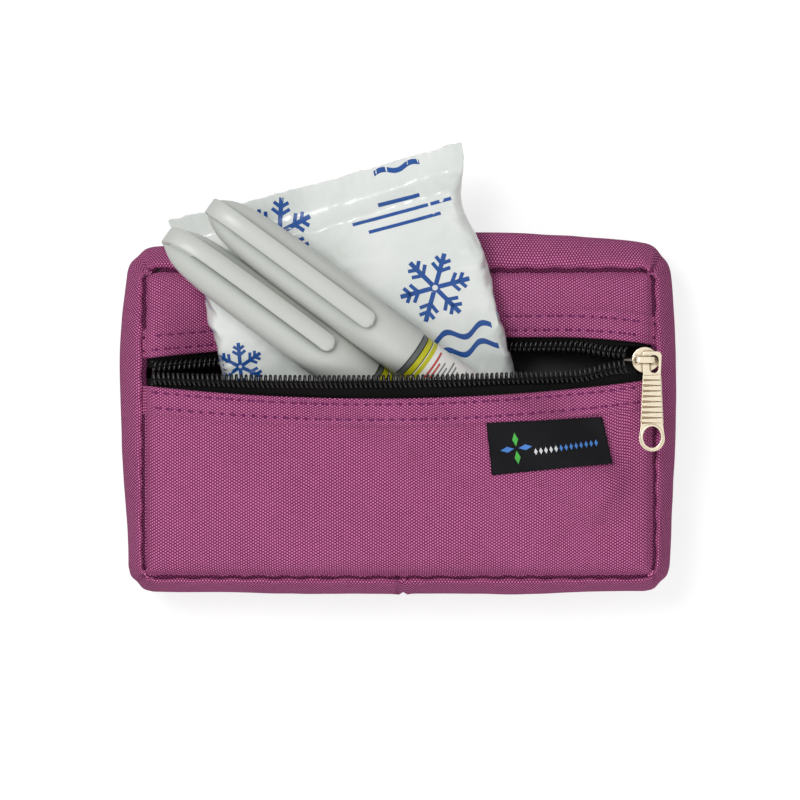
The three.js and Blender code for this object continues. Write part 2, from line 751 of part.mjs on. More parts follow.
function pullShape() {
  const eye = pull.slotWidth / 2;
  const top = pull.slotAbove + pull.eyeWall;
  const [left, right] = [-eye - pull.railLeft, eye + pull.railRight];
  const middle = (left + right) / 2;
  const corner = eye;
  const foot = -pull.below;
  const footHalf = pull.footWidth / 2;
  const shape = new THREE.Shape();
  shape.moveTo(left, top - corner);
  shape.lineTo(middle - pull.neckWidth / 2, -pull.ribTop);
  shape.lineTo(middle - pull.waistWidth / 2, foot + pull.holeRise + footHalf);
  shape.absarc(middle, foot + footHalf, footHalf, Math.PI, Math.PI * 2, false);
  shape.lineTo(middle + pull.waistWidth / 2, foot + pull.holeRise + footHalf);
  shape.lineTo(middle + pull.neckWidth / 2, -pull.ribTop);
  shape.lineTo(right, top - corner);
  shape.absarc(right - corner, top - corner, corner, 0, Math.PI / 2, false);
  shape.absarc(left + corner, top - corner, corner, Math.PI / 2, Math.PI, false);
  const slot = new THREE.Path();
  slot.absarc(0, pull.slotAbove - eye, eye, 0, Math.PI, false);
  slot.absarc(0, -pull.slotBelow + eye, eye, Math.PI, Math.PI * 2, false);
  const hole = new THREE.Path();
  const [holeX, holeY] = [pull.holeWidth / 2, pull.holeLength / 2];
  hole.absellipse(middle, foot + pull.holeRise, holeX, holeY, 0, Math.PI * 2, false);
  shape.holes.push(slot, hole);
  return { shape, middle };
}

function pullGeometry() {
  const { shape, middle } = pullShape();
  const plate = prism(shape, pull.thickness, curveSteps.coarse);
  const ribs = Array.from({ length: pull.ribs }, (_, i) => {
    const width = mix(pull.neckWidth, pull.waistWidth, i / pull.ribs) - pull.ribWidth;
    const height = pull.thickness + pull.ribHeight;
    return box(width, pull.ribWidth, height, middle, -pull.ribTop - i * pull.ribPitch, height / 2);
  });
  return fromManifold(joined(plate, ...ribs));
}

addPiece(pullGroup, 'pull_tab', pullGeometry(), nickel, 0.35, 0.85);

// Cold pack: a flat film tube, sealed across both ends, swollen by its gel

const packGroup = new THREE.Group();
packGroup.applyMatrix4(new THREE.Matrix4()
  .makeBasis(packFrame.side, packFrame.up, packFrame.normal)
  .setPosition(packFrame.centre));
model.add(packGroup);

const packSealHalf = pack.film + touchGap / 2;

function packHalfHeight(u, v) {
  const across = Math.abs(2 * u - 1);
  const inset = pack.sealWidth / pack.length;
  const along = Math.min(1, Math.abs(2 * v - 1) / (1 - inset * 2));
  const swellShare = Math.sqrt(1 - across ** 4) * (1 - along ** 5);
  const [first, second, third] = packWaveShares;
  const ripple = 1 + Math.sin(first * u + third * v * u) * Math.cos(second * v + first * u * v * 2);
  return packSealHalf + (pack.crown - packSealHalf - (pack.wave * ripple) / 2) * swellShare;
}

function packGrid(columns, rows, toFront, depth) {
  return rows.map((v) => columns.map((u) => {
    const width = mix(pack.bottomWidth, pack.topWidth, v);
    const height = (packHalfHeight(u, v) - depth) * toFront;
    return new THREE.Vector3((u - 1 / 2) * width, (v - 1 / 2) * pack.length, height);
  }));
}

const packColumnShares = [0, 0.02, 0.07, ...spread(0.15, 0.85, 8), 0.93, 0.98, 1];
const packRowShares = [0, 0.038, 0.08, ...spread(0.16, 0.84, 8), 0.92, 0.962, 1];
for (const [side, toFront] of [['front', 1], ['back', -1]]) {
  const film = sheetGeometry(
    packGrid(packColumnShares, packRowShares, toFront, 0),
    packGrid(packColumnShares, packRowShares, toFront, pack.film),
  );
  addPiece(packGroup, `pack_film_${side}`, film, filmWhite, 0.25);
}
const gelDepth = pack.film + touchGap;
const [gelColumnShares, gelRowShares] = [inner(packColumnShares), inner(packRowShares, 2, 2)];
const gel = sheetGeometry(
  packGrid(gelColumnShares, gelRowShares, 1, gelDepth),
  packGrid(gelColumnShares, gelRowShares, -1, gelDepth),
);
addPiece(packGroup, 'pack_gel', gel, gelBlue, 0.4);

// Pens

const penTurns = { outer: 16, inner: 12, core: 10 };
const capShapeShares = [
  [0.265, 0], [0.52, 0.087], [0.72, 0.18], [0.855, 0.3], [0.93, 0.476], [0.976, 0.78], [1, 1],
];
const capInnerFrom = 2;

// Distance from the cap's tip, and the cap's radius there
const capOutline = capShapeShares.map(([radiusShare, taperShare]) => [
  radiusShare * pen.capRadius,
  taperShare * pen.taper,
]);

function capRadiusAt(fromTip) {
  const after = capOutline.findIndex(([, distance]) => distance > fromTip);
  if (after < 1) {
    return after ? pen.capRadius : pen.tipRadius;
  }
  const [[r0, d0], [r1, d1]] = [capOutline[after - 1], capOutline[after]];
  return mix(r0, r1, (fromTip - d0) / (d1 - d0));
}

function capTube() {
  const outer = capOutline.map(([radius, fromTip]) => [radius, pen.capLength - fromTip]);
  const bore = capOutline.slice(capInnerFrom).map(
    ([radius, fromTip]) => [radius - pen.capWall, pen.capLength - fromTip - pen.capWall],
  );
  const boreRadius = pen.capRadius - pen.capWall;
  const floor = bore[0][1];
  return turned([
    [0, pen.capLength], ...outer, [pen.capRadius, 0], [boreRadius, 0], ...bore.toReversed(), [0, floor],
  ], penTurns.outer);
}

// The clip starts in the cap's tip, runs free over the cap and touches down with a rounded heel
function clipBody() {
  const above = (fromTip, rise) => [pen.capLength - fromTip, capRadiusAt(fromTip) + rise];
  const lift = clip.stand + clip.thickness;
  const rootStep = clip.root / 3;
  const topRun = [rootStep / 2, rootStep, clip.root, clip.root * 2, pen.taper, clip.length - clip.heel];
  const top = topRun.map((fromTip) => above(fromTip, lift));
  const under = [
    above(clip.length, clip.stand + runningGap),
    above(clip.length, runningGap),
    above(clip.length - clip.heel / 2, runningGap),
    above(clip.length - clip.heel, clip.stand),
    above(pen.taper, clip.stand),
    above(clip.root * 2, clip.stand),
    above(clip.root, clip.stand),
    above(clip.root - rootStep, -pen.capWall / 2),
    above(rootStep / 2, -pen.capWall),
  ];
  const profile = new THREE.Shape([...top, ...under].map(([y, z]) => new THREE.Vector2(y, z)));
  const width = clip.width;
  const strip = prism(profile, width).translate(0, 0, -width / 2);
  strip.applyMatrix4(new THREE.Matrix4().makeBasis(
    new THREE.Vector3(0, 1, 0),
    new THREE.Vector3(0, 0, 1),
    new THREE.Vector3(1, 0, 0),
  ));
  const plan = new THREE.Shape();
  const endY = pen.capLength - clip.length + width / 2;
  plan.absarc(0, endY, width / 2, Math.PI, Math.PI * 2, false);
  plan.lineTo(width / 2, pen.capLength + cutOverrun);
  plan.lineTo(-width / 2, pen.capLength + cutOverrun);
  const keep = prism(plan, pen.capRadius * 3, curveSteps.coarse);
  return toManifold(strip).intersect(toManifold(keep));
}

const tube = (innerRadius, outerRadius, low, high, segments) => turned([
  [innerRadius, low], [outerRadius, low], [outerRadius, high], [innerRadius, high], [innerRadius, low],
], segments);

const rod = (radius, low, high, segments) => turned([
  [0, low], [radius, low], [radius, high], [0, high],
], segments);

const coreRadius = pen.barrelRadius - pen.sleeveThickness - touchGap;
const boreRadius = pen.holderRadius - touchGap;
const ringLow = -touchGap - pen.ringLength;
const bandHigh = ringLow - touchGap;
const bandLow = bandHigh - pen.bandLength;
const sleeveHigh = bandLow - touchGap;
const sleeveLow = sleeveHigh - pen.sleeveLength;
const knobHigh = sleeveLow - touchGap;
const knobLow = knobHigh - pen.knobLength;
const holderLow = pen.collarLength + touchGap;
const holderHigh = holderLow + pen.holderLength - pen.collarLength;
const glassLow = holderLow + touchGap;
const glassHigh = glassLow + pen.glassLength - pen.collarLength;

function barrelGeometry() {
  return turned([
    [boreRadius, sleeveLow], [coreRadius, sleeveLow], [coreRadius, ringLow], [pen.barrelRadius, ringLow],
    [pen.barrelRadius, -touchGap], [pen.collarRadius, -touchGap], [pen.collarRadius, pen.collarLength],
    [pen.glassRadius, pen.collarLength], [pen.glassRadius, pen.collarLength / 2],
    [boreRadius, pen.collarLength / 3], [boreRadius, sleeveLow],
  ], penTurns.outer);
}

function holderGeometry() {
  const bore = pen.glassRadius + runningGap;
  const shoulder = holderHigh - pen.holderWall;
  const hole = pen.neckRadius - pen.holderWall;
  return turned([
    [bore, holderLow], [pen.holderRadius, holderLow], [pen.holderRadius, shoulder - pen.holderWall],
    [pen.neckRadius, holderHigh], [pen.neckRadius, holderHigh + pen.neckLength],
    [hole, holderHigh + pen.neckLength], [hole, shoulder],
    [bore, shoulder - pen.holderWall], [bore, holderLow],
  ], penTurns.inner);
}

// The dial is a fluted ring with a plain bore for the button's stem
function knobGeometry() {
  const depth = pen.capWall / 3;
  const outline = Array.from({ length: pen.flutes * 2 }, (_, i) => {
    const angle = (Math.PI * i) / pen.flutes;
    const radius = pen.knobRadius - (i % 2 ? depth : 0);
    return new THREE.Vector2(radius * Math.cos(angle), radius * Math.sin(angle));
  });
  const shape = new THREE.Shape(outline);
  const bore = new THREE.Path();
  bore.absarc(0, 0, pen.buttonRadius + runningGap, 0, Math.PI * 2, false);
  shape.holes.push(bore);
  return prism(shape, pen.knobLength, curveSteps.coarse).rotateX(Math.PI / 2).translate(0, knobHigh, 0);
}

function buttonGeometry() {
  const low = knobLow - pen.buttonLength;
  const edge = pen.buttonLength / 5;
  const high = knobLow + pen.buttonLength + pen.buttonTravel;
  return turned([
    [0, low], [pen.buttonRadius - edge * 2, low], [pen.buttonRadius, low + edge],
    [pen.buttonRadius, high], [0, high],
  ], penTurns.outer);
}

function addPen(side) {
  const { place, along, side: across, out } = penFrames[side];
  const group = new THREE.Group();
  group.applyMatrix4(new THREE.Matrix4().makeBasis(across, along, out).setPosition(place));
  model.add(group);
  const add = (name, ...look) => addPiece(group, `${side}_pen_${name}`, ...look);
  const stopperRadius = pen.glassRadius - pen.glassWall - touchGap;
  const stopperLow = glassLow + touchGap;
  const drumRadius = boreRadius - runningGap;
  const sleeveInner = coreRadius + touchGap;
  const rodHigh = stopperLow - touchGap;
  add('cap', fromManifold(toManifold(capTube()).add(clipBody())), capGrey, 0.4);
  add('barrel', barrelGeometry(), darkGrey, 0.45);
  add('band', tube(sleeveInner, pen.barrelRadius, bandLow, bandHigh, penTurns.outer), olive, 0.5);
  add('label', tube(sleeveInner, pen.barrelRadius, sleeveLow, sleeveHigh, penTurns.outer), labelWhite, 0.5);
  add('holder', holderGeometry(), glassClear, 0.2);
  const glassInner = pen.glassRadius - pen.glassWall;
  add('cartridge', tube(glassInner, pen.glassRadius, glassLow, glassHigh, penTurns.inner), glassClear, 0.1);
  const stopper = rod(stopperRadius, stopperLow, stopperLow + pen.stopperLength, penTurns.inner);
  add('stopper', stopper, rubberGrey, 0.8);
  add('rod', rod(pen.screwRadius, rodHigh - pen.screwLength, rodHigh, penTurns.core), darkGrey, 0.5);
  const drum = tube(drumRadius - pen.glassWall, drumRadius, knobHigh, ringLow, penTurns.inner);
  add('drum', drum, labelWhite, 0.5);
  add('dial', knobGeometry(), darkGrey, 0.5);
  add('button', buttonGeometry(), olive, 0.5);
}

addPen('left');
addPen('right');

export default model;
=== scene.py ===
# Looks for a soft insulin cooling case, open on its back, with a cold pack and two pens in it.
# Shapes are worked out in millimetres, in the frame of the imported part, and scaled to metres.
import math
from itertools import accumulate

import bmesh
import bpy
from mathutils import Matrix, Vector, noise
from mathutils.bvhtree import BVHTree


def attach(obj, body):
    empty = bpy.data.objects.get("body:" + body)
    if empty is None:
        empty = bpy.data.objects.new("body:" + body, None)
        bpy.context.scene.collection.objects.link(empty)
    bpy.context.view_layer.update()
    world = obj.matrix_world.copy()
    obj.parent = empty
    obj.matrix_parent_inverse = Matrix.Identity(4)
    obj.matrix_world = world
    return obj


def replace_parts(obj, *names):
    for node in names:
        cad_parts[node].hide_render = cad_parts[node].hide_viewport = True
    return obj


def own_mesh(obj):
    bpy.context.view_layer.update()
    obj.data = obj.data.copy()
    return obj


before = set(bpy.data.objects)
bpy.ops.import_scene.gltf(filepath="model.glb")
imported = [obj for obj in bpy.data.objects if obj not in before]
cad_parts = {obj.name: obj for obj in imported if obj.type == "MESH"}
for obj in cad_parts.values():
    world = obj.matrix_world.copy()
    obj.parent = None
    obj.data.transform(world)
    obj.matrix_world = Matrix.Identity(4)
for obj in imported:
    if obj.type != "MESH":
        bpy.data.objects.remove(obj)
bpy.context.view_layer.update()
MM = 0.001

# Sizes of the part, in millimetres
HALF_WIDTH, CORNER = 82.8, 4.0
REAR_TOP, REAR_BOTTOM, REAR_HEIGHT = 51.0, -52.0, 3.0
FRONT_TOP, FRONT_BOTTOM, FRONT_HEIGHT = 47.3, -53.1, 38.0
SHOULDER_DROP, SHOULDER_START = 7.0, 22.0
UPPER_LIP, UPPER_LIP_PEAK = 24.7, 50
BULGE = {"left": 2.8, "right": 2.3, "top": 5.0, "bottom": 1.1, "corner": 4.6}
SWELL = {"rise": 5, "side": 22, "bottom": 9, "blend": 1.5, "skirt": math.radians(40)}
FABRIC, FOAM, LINING, GAP = 0.9, 2.0, 0.6, 0.3
WALL = FABRIC + FOAM + LINING + 2 * GAP
INSET = FABRIC + 2 * GAP
INSIDE = HALF_WIDTH - INSET
PACK = {"top": 97.6, "bottom": 94.6, "length": 112.0, "crown": 5.2, "seal": 4.2, "lean": 15.0, "climb": 10.6}
PACK_CENTRE = Vector((-12.9, 21.8, 29.1))
PEN_HEADING, PEN_CLIMB = math.radians(36.5), math.radians(8.6)
PEN_PLACES = {"left": (Vector((-10.999, 10.229, 41.007)), 18.0), "right": (Vector((3.1, 19.7, 45.745)), 3.5)}
CAP_LENGTH, CAP_RADIUS, BARREL_RADIUS = 79.7, 8.3, 7.65
PEN_REACH = 78.3
SLIDER = Vector((78.7, 17.4, 40.3))


def mix(a, b, t):
    return a + (b - a) * t


def clamp(v, low=0.0, high=1.0):
    return max(low, min(high, v))


def ease(v, low, high):
    t = clamp((v - low) / (high - low))
    return t * t * (3 - 2 * t)


def bump(v, middle, width):
    return math.exp(-((v - middle) / width) ** 2)


def fade(v, reach):
    return math.exp(-max(0.0, v) / reach)


def rough(x, y, z, scale, seed=0.0):
    return noise.noise(Vector((x / scale + seed, y / scale - seed, z / scale + seed)))


def shares(count):
    return [i / count for i in range(count + 1)]


# Frames of the cold pack and the pens

def to_world(origin, x, y, z):
    return Matrix.Translation(origin) @ Matrix((x, y, z)).transposed().to_4x4()


LEAN, CLIMB = math.radians(PACK["lean"]), math.radians(PACK["climb"])
PACK_UP = Vector((-math.sin(LEAN) * math.cos(CLIMB), math.cos(LEAN) * math.cos(CLIMB), math.sin(CLIMB)))
PACK_SIDE = Vector((math.cos(LEAN), math.sin(LEAN), 0))
PACK_OUT = PACK_SIDE.cross(PACK_UP)
PACK_FRAME = to_world(PACK_CENTRE, PACK_SIDE, PACK_UP, PACK_OUT)
ALONG = Vector((-math.cos(PEN_HEADING) * math.cos(PEN_CLIMB), math.sin(PEN_HEADING) * math.cos(PEN_CLIMB),
                math.sin(PEN_CLIMB)))
ACROSS = Vector((math.sin(PEN_HEADING), math.cos(PEN_HEADING), 0))
PEN_UP = ACROSS.cross(ALONG)


def pack_plane(x, y, offset):
    slide = (x - PACK_CENTRE.x) * PACK_OUT.x + (y - PACK_CENTRE.y) * PACK_OUT.y
    return PACK_CENTRE.z + (offset - slide) / PACK_OUT.z


def pen_matrix(side):
    place, roll = PEN_PLACES[side]
    turn = math.radians(roll)
    x = ACROSS * math.cos(turn) - PEN_UP * math.sin(turn)
    return to_world(place, x, ALONG, PEN_UP * math.cos(turn) + ACROSS * math.sin(turn))


# Surfaces of the case

def lower_lip(x):
    share = (x + 8) / 82
    return 10.2 - 5.2 * (1 - share * share)


def upper_lip(x):
    right = x > UPPER_LIP_PEAK
    share = (x - UPPER_LIP_PEAK) / (32 if right else 132)
    return UPPER_LIP - (2.6 if right else 6.9) * share * share


def over_pen(side, x, y):
    place = PEN_PLACES[side][0]
    radius = BARREL_RADIUS + 1.4 + WALL
    dx, dy = x - place.x, y - place.y
    along = (dx * ALONG.x + dy * ALONG.y) / math.cos(PEN_CLIMB)
    sideways = abs(dx * ACROSS.x + dy * ACROSS.y)
    shoulder = radius * math.sin(SWELL["skirt"])
    past = max(0.0, -along - PEN_REACH)
    drop = (past + max(0.0, sideways - shoulder)) * math.tan(SWELL["skirt"])
    return place.z + along * math.tan(PEN_CLIMB) + math.sqrt(radius ** 2 - min(sideways, shoulder) ** 2) - drop


def lower_height(x, y):
    side = 1 - fade(HALF_WIDTH - abs(x), SWELL["side"])
    bottom = 1 - fade(y - FRONT_BOTTOM, SWELL["bottom"])
    values = [FRONT_HEIGHT + SWELL["rise"] * side * bottom, over_pen("left", x, y), over_pen("right", x, y)]
    top, blend = max(values), SWELL["blend"]
    return top + blend * math.log(sum(math.exp((v - top) / blend) for v in values))


def upper_height(x, y):
    floor = pack_plane(x, y, -PACK["crown"] - 1.4)
    edge = FRONT_HEIGHT - SHOULDER_DROP * ease(y, SHOULDER_START, FRONT_TOP)
    return mix(floor, edge, max(1 - ease(x, -82, -58), ease(x, 36, 74)))


def half_width(y, bottom, top, wide, corner):
    inside = max(0.0, corner - max(0.0, min(y - bottom, top - y)))
    return wide - corner + math.sqrt(max(0.0, corner ** 2 - inside ** 2))


def seam_fall(x, edges):
    """How far a panel rolls down into its seams, by its distance from them"""
    near = min([INSIDE - abs(x)] + edges)
    return 3.3 * fade(near, 1.15) + 0.9 * fade(near, 4.0)


BAND_SHARES = [6, 2, 8, 2, 12, 2, 8, 2, 6]


def outline(u, bottom, top):
    """A point of a seam line and its outward direction; u runs round from the middle of the bottom"""
    flat = HALF_WIDTH - CORNER
    low, high = bottom + CORNER, top - CORNER
    step = (u % 1) * sum(BAND_SHARES)
    part = 0
    while step > BAND_SHARES[part]:
        step -= BAND_SHARES[part]
        part += 1
    share = step / BAND_SHARES[part]
    arcs = {1: (flat, low, -1), 3: (flat, high, 0), 5: (-flat, high, 1), 7: (-flat, low, 2)}
    if part in arcs:
        x, y, quarter = arcs[part]
        angle = (quarter + share) * math.pi / 2
        out = Vector((math.cos(angle), math.sin(angle)))
        return Vector((x, y)) + out * CORNER, out
    lines = {0: ((0, bottom), (flat, bottom), (0, -1)), 2: ((HALF_WIDTH, low), (HALF_WIDTH, high), (1, 0)),
             4: ((flat, top), (-flat, top), (0, 1)), 6: ((-HALF_WIDTH, high), (-HALF_WIDTH, low), (-1, 0)),
             8: ((-flat, bottom), (0, bottom), (0, -1))}
    a, b, out = (Vector(p) for p in lines[part])
    return a.lerp(b, share), out


def hump(share, skew=1.0):
    return max(0.0, math.sin(math.pi * clamp(share) ** skew)) ** 0.8


def side_band(u, v):
    t = clamp(v)
    rear, _ = outline(u, REAR_BOTTOM, REAR_TOP)
    point, out = outline(u, FRONT_BOTTOM, FRONT_TOP)
    side = BULGE["right"] if out.x > 0 else BULGE["left"]
    end = BULGE["top"] if out.y > 0 else BULGE["bottom"]
    up = (point.y - FRONT_BOTTOM) / (FRONT_TOP - FRONT_BOTTOM)
    over = (point.x + HALF_WIDTH) / (2 * HALF_WIDTH)
    across = hump(1 - over, 0.66) if out.y > 0 else hump(over)
    amount = BULGE["corner"] + side * out.x ** 2 * hump(up, 1.5) + end * out.y ** 2 * across
    plan = rear.lerp(point, t) + out * amount * math.sin(math.pi * t)
    top = upper_height(point.x, point.y) if point.y > UPPER_LIP else FRONT_HEIGHT
    return Vector((plan.x, plan.y, mix(REAR_HEIGHT, top, v)))


# Mesh helpers: a part is a pair of its vertices and its faces

def new_piece(name, part, body, material, uvs=None, smooth=True):
    verts, faces = part
    mesh = bpy.data.meshes.new(name)
    mesh.from_pydata([Vector(v) * MM for v in verts], [], faces)
    mesh.validate()
    if uvs:
        layer = mesh.uv_layers.new(name="weave")
        for loop in mesh.loops:
            layer.data[loop.index].uv = [c * MM for c in uvs[loop.vertex_index]]
    mesh.polygons.foreach_set("use_smooth", [smooth] * len(mesh.polygons))
    piece = bpy.data.objects.new(name, mesh)
    bpy.context.scene.collection.objects.link(piece)
    piece.data.materials.append(material)
    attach(piece, body)
    return piece


def second_material(piece, material, chosen):
    piece.data.materials.append(material)
    for polygon in piece.data.polygons:
        if chosen(polygon):
            polygon.material_index = 1


def outward(part):
    """The same part, with its faces turned round if they point into it"""
    verts, faces = part
    volume = 0.0
    for face in faces:
        a = Vector(verts[face[0]])
        for i in range(1, len(face) - 1):
            volume += a.dot(Vector(verts[face[i]]).cross(Vector(verts[face[i + 1]])))
    return verts, faces if volume > 0 else [tuple(reversed(face)) for face in faces]


def merged(parts):
    verts, faces = [], []
    for part in parts:
        base = len(verts)
        part_verts, part_faces = outward(part)
        verts += part_verts
        faces += [tuple(i + base for i in face) for face in part_faces]
    return verts, faces


def placed(part, matrix):
    return [matrix @ Vector(v) for v in part[0]], part[1]


def ring_faces(count, sides, closed=False):
    """Faces between rings of points, each ring joined to the next"""
    faces = []
    for i in range(count if closed else count - 1):
        a, b = i * sides, (i + 1) % count * sides
        for k in range(sides):
            n = (k + 1) % sides
            faces.append((a + k, a + n, b + n, b + k))
    return faces


def lengths(points):
    return list(accumulate([0.0] + [(b - a).length for a, b in zip(points, points[1:])]))


def grid_sheet(name, front, back, body, material, closed=False, turned=False):
    """A sheet between two grids of points, with its lengths along rows and columns as its weave's UVs"""
    rows, columns = len(front), len(front[0])
    spans = columns if closed else columns - 1
    verts = [p for grid in (front, back) for row in grid for p in row]
    at = lambda side, r, c: (side * rows + r) * columns + c % columns
    faces = []
    for c in range(spans):
        for r in range(rows - 1):
            faces.append((at(0, r, c), at(0, r, c + 1), at(0, r + 1, c + 1), at(0, r + 1, c)))
            faces.append((at(1, r, c), at(1, r + 1, c), at(1, r + 1, c + 1), at(1, r, c + 1)))
        faces.append((at(0, 0, c + 1), at(0, 0, c), at(1, 0, c), at(1, 0, c + 1)))
        faces.append((at(0, rows - 1, c), at(0, rows - 1, c + 1), at(1, rows - 1, c + 1), at(1, rows - 1, c)))
    if not closed:
        for r in range(rows - 1):
            faces.append((at(0, r, 0), at(0, r + 1, 0), at(1, r + 1, 0), at(1, r, 0)))
            faces.append((at(0, r + 1, spans), at(0, r, spans), at(1, r, spans), at(1, r + 1, spans)))
    across = lengths(front[rows // 2])
    runs = [lengths([row[c] for row in front]) for c in range(columns)]
    uvs = [(across[c], runs[c][r]) for _ in (0, 1) for r in range(rows) for c in range(columns)]
    if turned:
        uvs = [(0.8 * v, u) for u, v in uvs]
    return new_piece(name, outward((verts, faces)), body, material, uvs)


def normals(grid, closed):
    """Unit normals of a grid of points, along rows crossed with along columns"""
    rows, columns = len(grid), len(grid[0])
    found = []
    for r, row in enumerate(grid):
        line = []
        for c in range(columns):
            left = row[(c - 1) % columns] if closed or c else row[c]
            right = row[(c + 1) % columns] if closed or c < columns - 1 else row[c]
            across = grid[min(r + 1, rows - 1)][c] - grid[max(r - 1, 0)][c]
            line.append((right - left).cross(across).normalized())
        found.append(line)
    return found


def wall_layer(name, grid, depth, thickness, body, material, closed=False, turned=False):
    out = normals(grid, closed)
    lower = lambda below: [[p - n * below for p, n in zip(row, ns)] for row, ns in zip(grid, out)]
    return grid_sheet(name, lower(depth), lower(depth + thickness), body, material, closed, turned)


def bind_edges(piece, grid, closed, material, width=3):
    """The seam allowance, folded over the edges of a layer"""
    rows, columns = len(grid), len(grid[0])

    def at_edge(i):
        r, c = i // columns % rows, i % columns
        return min(r, rows - 1 - r) < width or (not closed and min(c, columns - 1 - c) < width)
    second_material(piece, material, lambda polygon: any(at_edge(i) for i in polygon.vertices))


def tube(path, radii, sides, closed=False, up=Vector((0, 0, 1))):
    """A tube along points, capped at its ends"""
    verts = []
    count = len(path)
    for i, p in enumerate(path):
        ahead = path[(i + 1) % count] if closed or i < count - 1 else p
        behind = path[i - 1] if closed or i else p
        along = (ahead - behind).normalized()
        side = along.cross(up)
        side = side.normalized() if side.length > 1e-6 else along.orthogonal().normalized()
        other = side.cross(along)
        radius = radii[i] if hasattr(radii, "__len__") else radii
        for k in range(sides):
            angle = 2 * math.pi * k / sides
            verts.append(p + (side * math.cos(angle) + other * math.sin(angle)) * radius)
    faces = ring_faces(count, sides, closed)
    if not closed:
        faces.append(tuple(range(sides)))
        faces.append(tuple((count - 1) * sides + k for k in reversed(range(sides))))
    return verts, faces


def woven_tube(name, path, radius, sides, material, closed=False):
    """A tube of cloth on the case, with its lengths along and round as its weave's UVs"""
    uvs = [(along, 2 * math.pi * radius * k / sides) for along in lengths(path) for k in range(sides)]
    return new_piece(name, outward(tube(path, radius, sides, closed)), "case", material, uvs)


def lathe(profile, sides):
    """A body turned round the Y axis from (radius, height) points; a radius of 0 closes it"""
    verts, faces, rings = [], [], []
    for radius, height in profile:
        if radius < 1e-6:
            rings.append([len(verts)] * sides)
            verts.append(Vector((0, height, 0)))
            continue
        rings.append(list(range(len(verts), len(verts) + sides)))
        turns = [2 * math.pi * k / sides for k in range(sides)]
        verts += [Vector((radius * math.cos(turn), height, radius * math.sin(turn))) for turn in turns]
    for a, b in zip(rings, rings[1:]):
        for k in range(sides):
            n = (k + 1) % sides
            faces.append(tuple(dict.fromkeys([a[k], a[n], b[n], b[k]])))
    return verts, [face for face in faces if len(face) > 2]


def prism(outline_points, low, high, holes=()):
    """A plate with a flat outline and holes: filled, raised and merged to few faces, which keep a fixed order"""
    bm = bmesh.new()
    rings = [[bm.verts.new((x, y, low)) for x, y in loop] for loop in (outline_points, *holes)]
    edges = [bm.edges.new((ring[i - 1], ring[i])) for ring in rings for i in range(len(ring))]
    bmesh.ops.triangle_fill(bm, edges=edges, use_beauty=True, use_dissolve=False)
    for element in bmesh.ops.extrude_face_region(bm, geom=list(bm.faces))["geom"]:
        if isinstance(element, bmesh.types.BMVert):
            element.co.z = high
    bmesh.ops.recalc_face_normals(bm, faces=bm.faces)
    bmesh.ops.dissolve_limit(bm, angle_limit=0.001, verts=bm.verts, edges=bm.edges)
    bm.verts.index_update()
    verts = [v.co.copy() for v in bm.verts]
    faces = []
    for face in bm.faces:
        loop = [v.index for v in face.verts]
        first = loop.index(min(loop))
        faces.append(tuple(loop[first:] + loop[:first]))
    bm.free()
    return verts, sorted(faces)


# Materials

class Nodes:
    """Short ways to add and join the shader nodes of one material"""

    def __init__(self, tree):
        self.tree = tree

    def fill(self, node, inputs):
        """Join each input that is given a socket, and set each that is given a value"""
        for key, value in inputs.items():
            if isinstance(value, bpy.types.NodeSocket):
                self.tree.links.new(value, node.inputs[key])
            elif value is not None:
                node.inputs[key].default_value = value

    def add(self, kind, inputs=None, **values):
        node = self.tree.nodes.new(kind)
        for key, value in values.items():
            setattr(node, key, value)
        self.fill(node, inputs or {})
        return node.outputs

    def math(self, operation, *terms):
        return self.add("ShaderNodeMath", dict(enumerate(terms)), operation=operation)[0]

    def plus(self, a, b):
        return self.math("ADD", a, b)

    def times(self, a, b):
        return self.math("MULTIPLY", a, b)

    def noise(self, vector, scale, detail=2.0, stretch=None):
        if stretch:
            vector = self.add("ShaderNodeMapping", {"Scale": stretch, "Vector": vector})["Vector"]
        return self.add("ShaderNodeTexNoise", {"Scale": scale, "Detail": detail, "Vector": vector})["Fac"]

    def ramp(self, factor, *stops):
        output = self.add("ShaderNodeValToRGB", {"Fac": factor})["Color"]
        elements = output.node.color_ramp.elements
        while len(elements) < len(stops):
            elements.new(0.5)
        for element, (place, color) in zip(elements, stops):
            element.position = place
            element.color = (*color, 1)
        return output

    def bump(self, height, distance, strength=1.0, normal=None):
        return self.add("ShaderNodeBump", {"Distance": distance * MM, "Strength": strength, "Height": height,
                                           "Normal": normal})["Normal"]

    def place(self):
        return self.add("ShaderNodeTexCoord")["Object"]

    def sheltered(self, distance, own):
        """1 where a point stands free, and less in corners narrower than a distance, of its own piece or of all"""
        return self.add("ShaderNodeAmbientOcclusion", {"Distance": distance * MM}, samples=12, only_local=own)["AO"]

    def background_rays(self):
        """1 for what the camera sees straight, in a mirror or through glass, and 0 for light on the object"""
        rays = self.add("ShaderNodeLightPath")
        seen = self.math("MAXIMUM", rays["Is Camera Ray"], rays["Is Glossy Ray"])
        return self.math("MAXIMUM", seen, rays["Is Transmission Ray"])


def material(name, color, roughness, metallic=0.0, **sockets):
    mat = bpy.data.materials.new(name)
    mat.use_nodes = True
    shader = mat.node_tree.nodes["Principled BSDF"]
    nodes = Nodes(mat.node_tree)
    nodes.fill(shader, {"Base Color": (*color, 1), "Roughness": roughness, "Metallic": metallic})
    nodes.fill(shader, {key.replace("_", " "): value for key, value in sockets.items()})
    return mat, nodes, shader


def srgb(r, g, b):
    return tuple((c / 255 / 12.92 if c <= 10 else ((c / 255 + 0.055) / 1.055) ** 2.4) for c in (r, g, b))


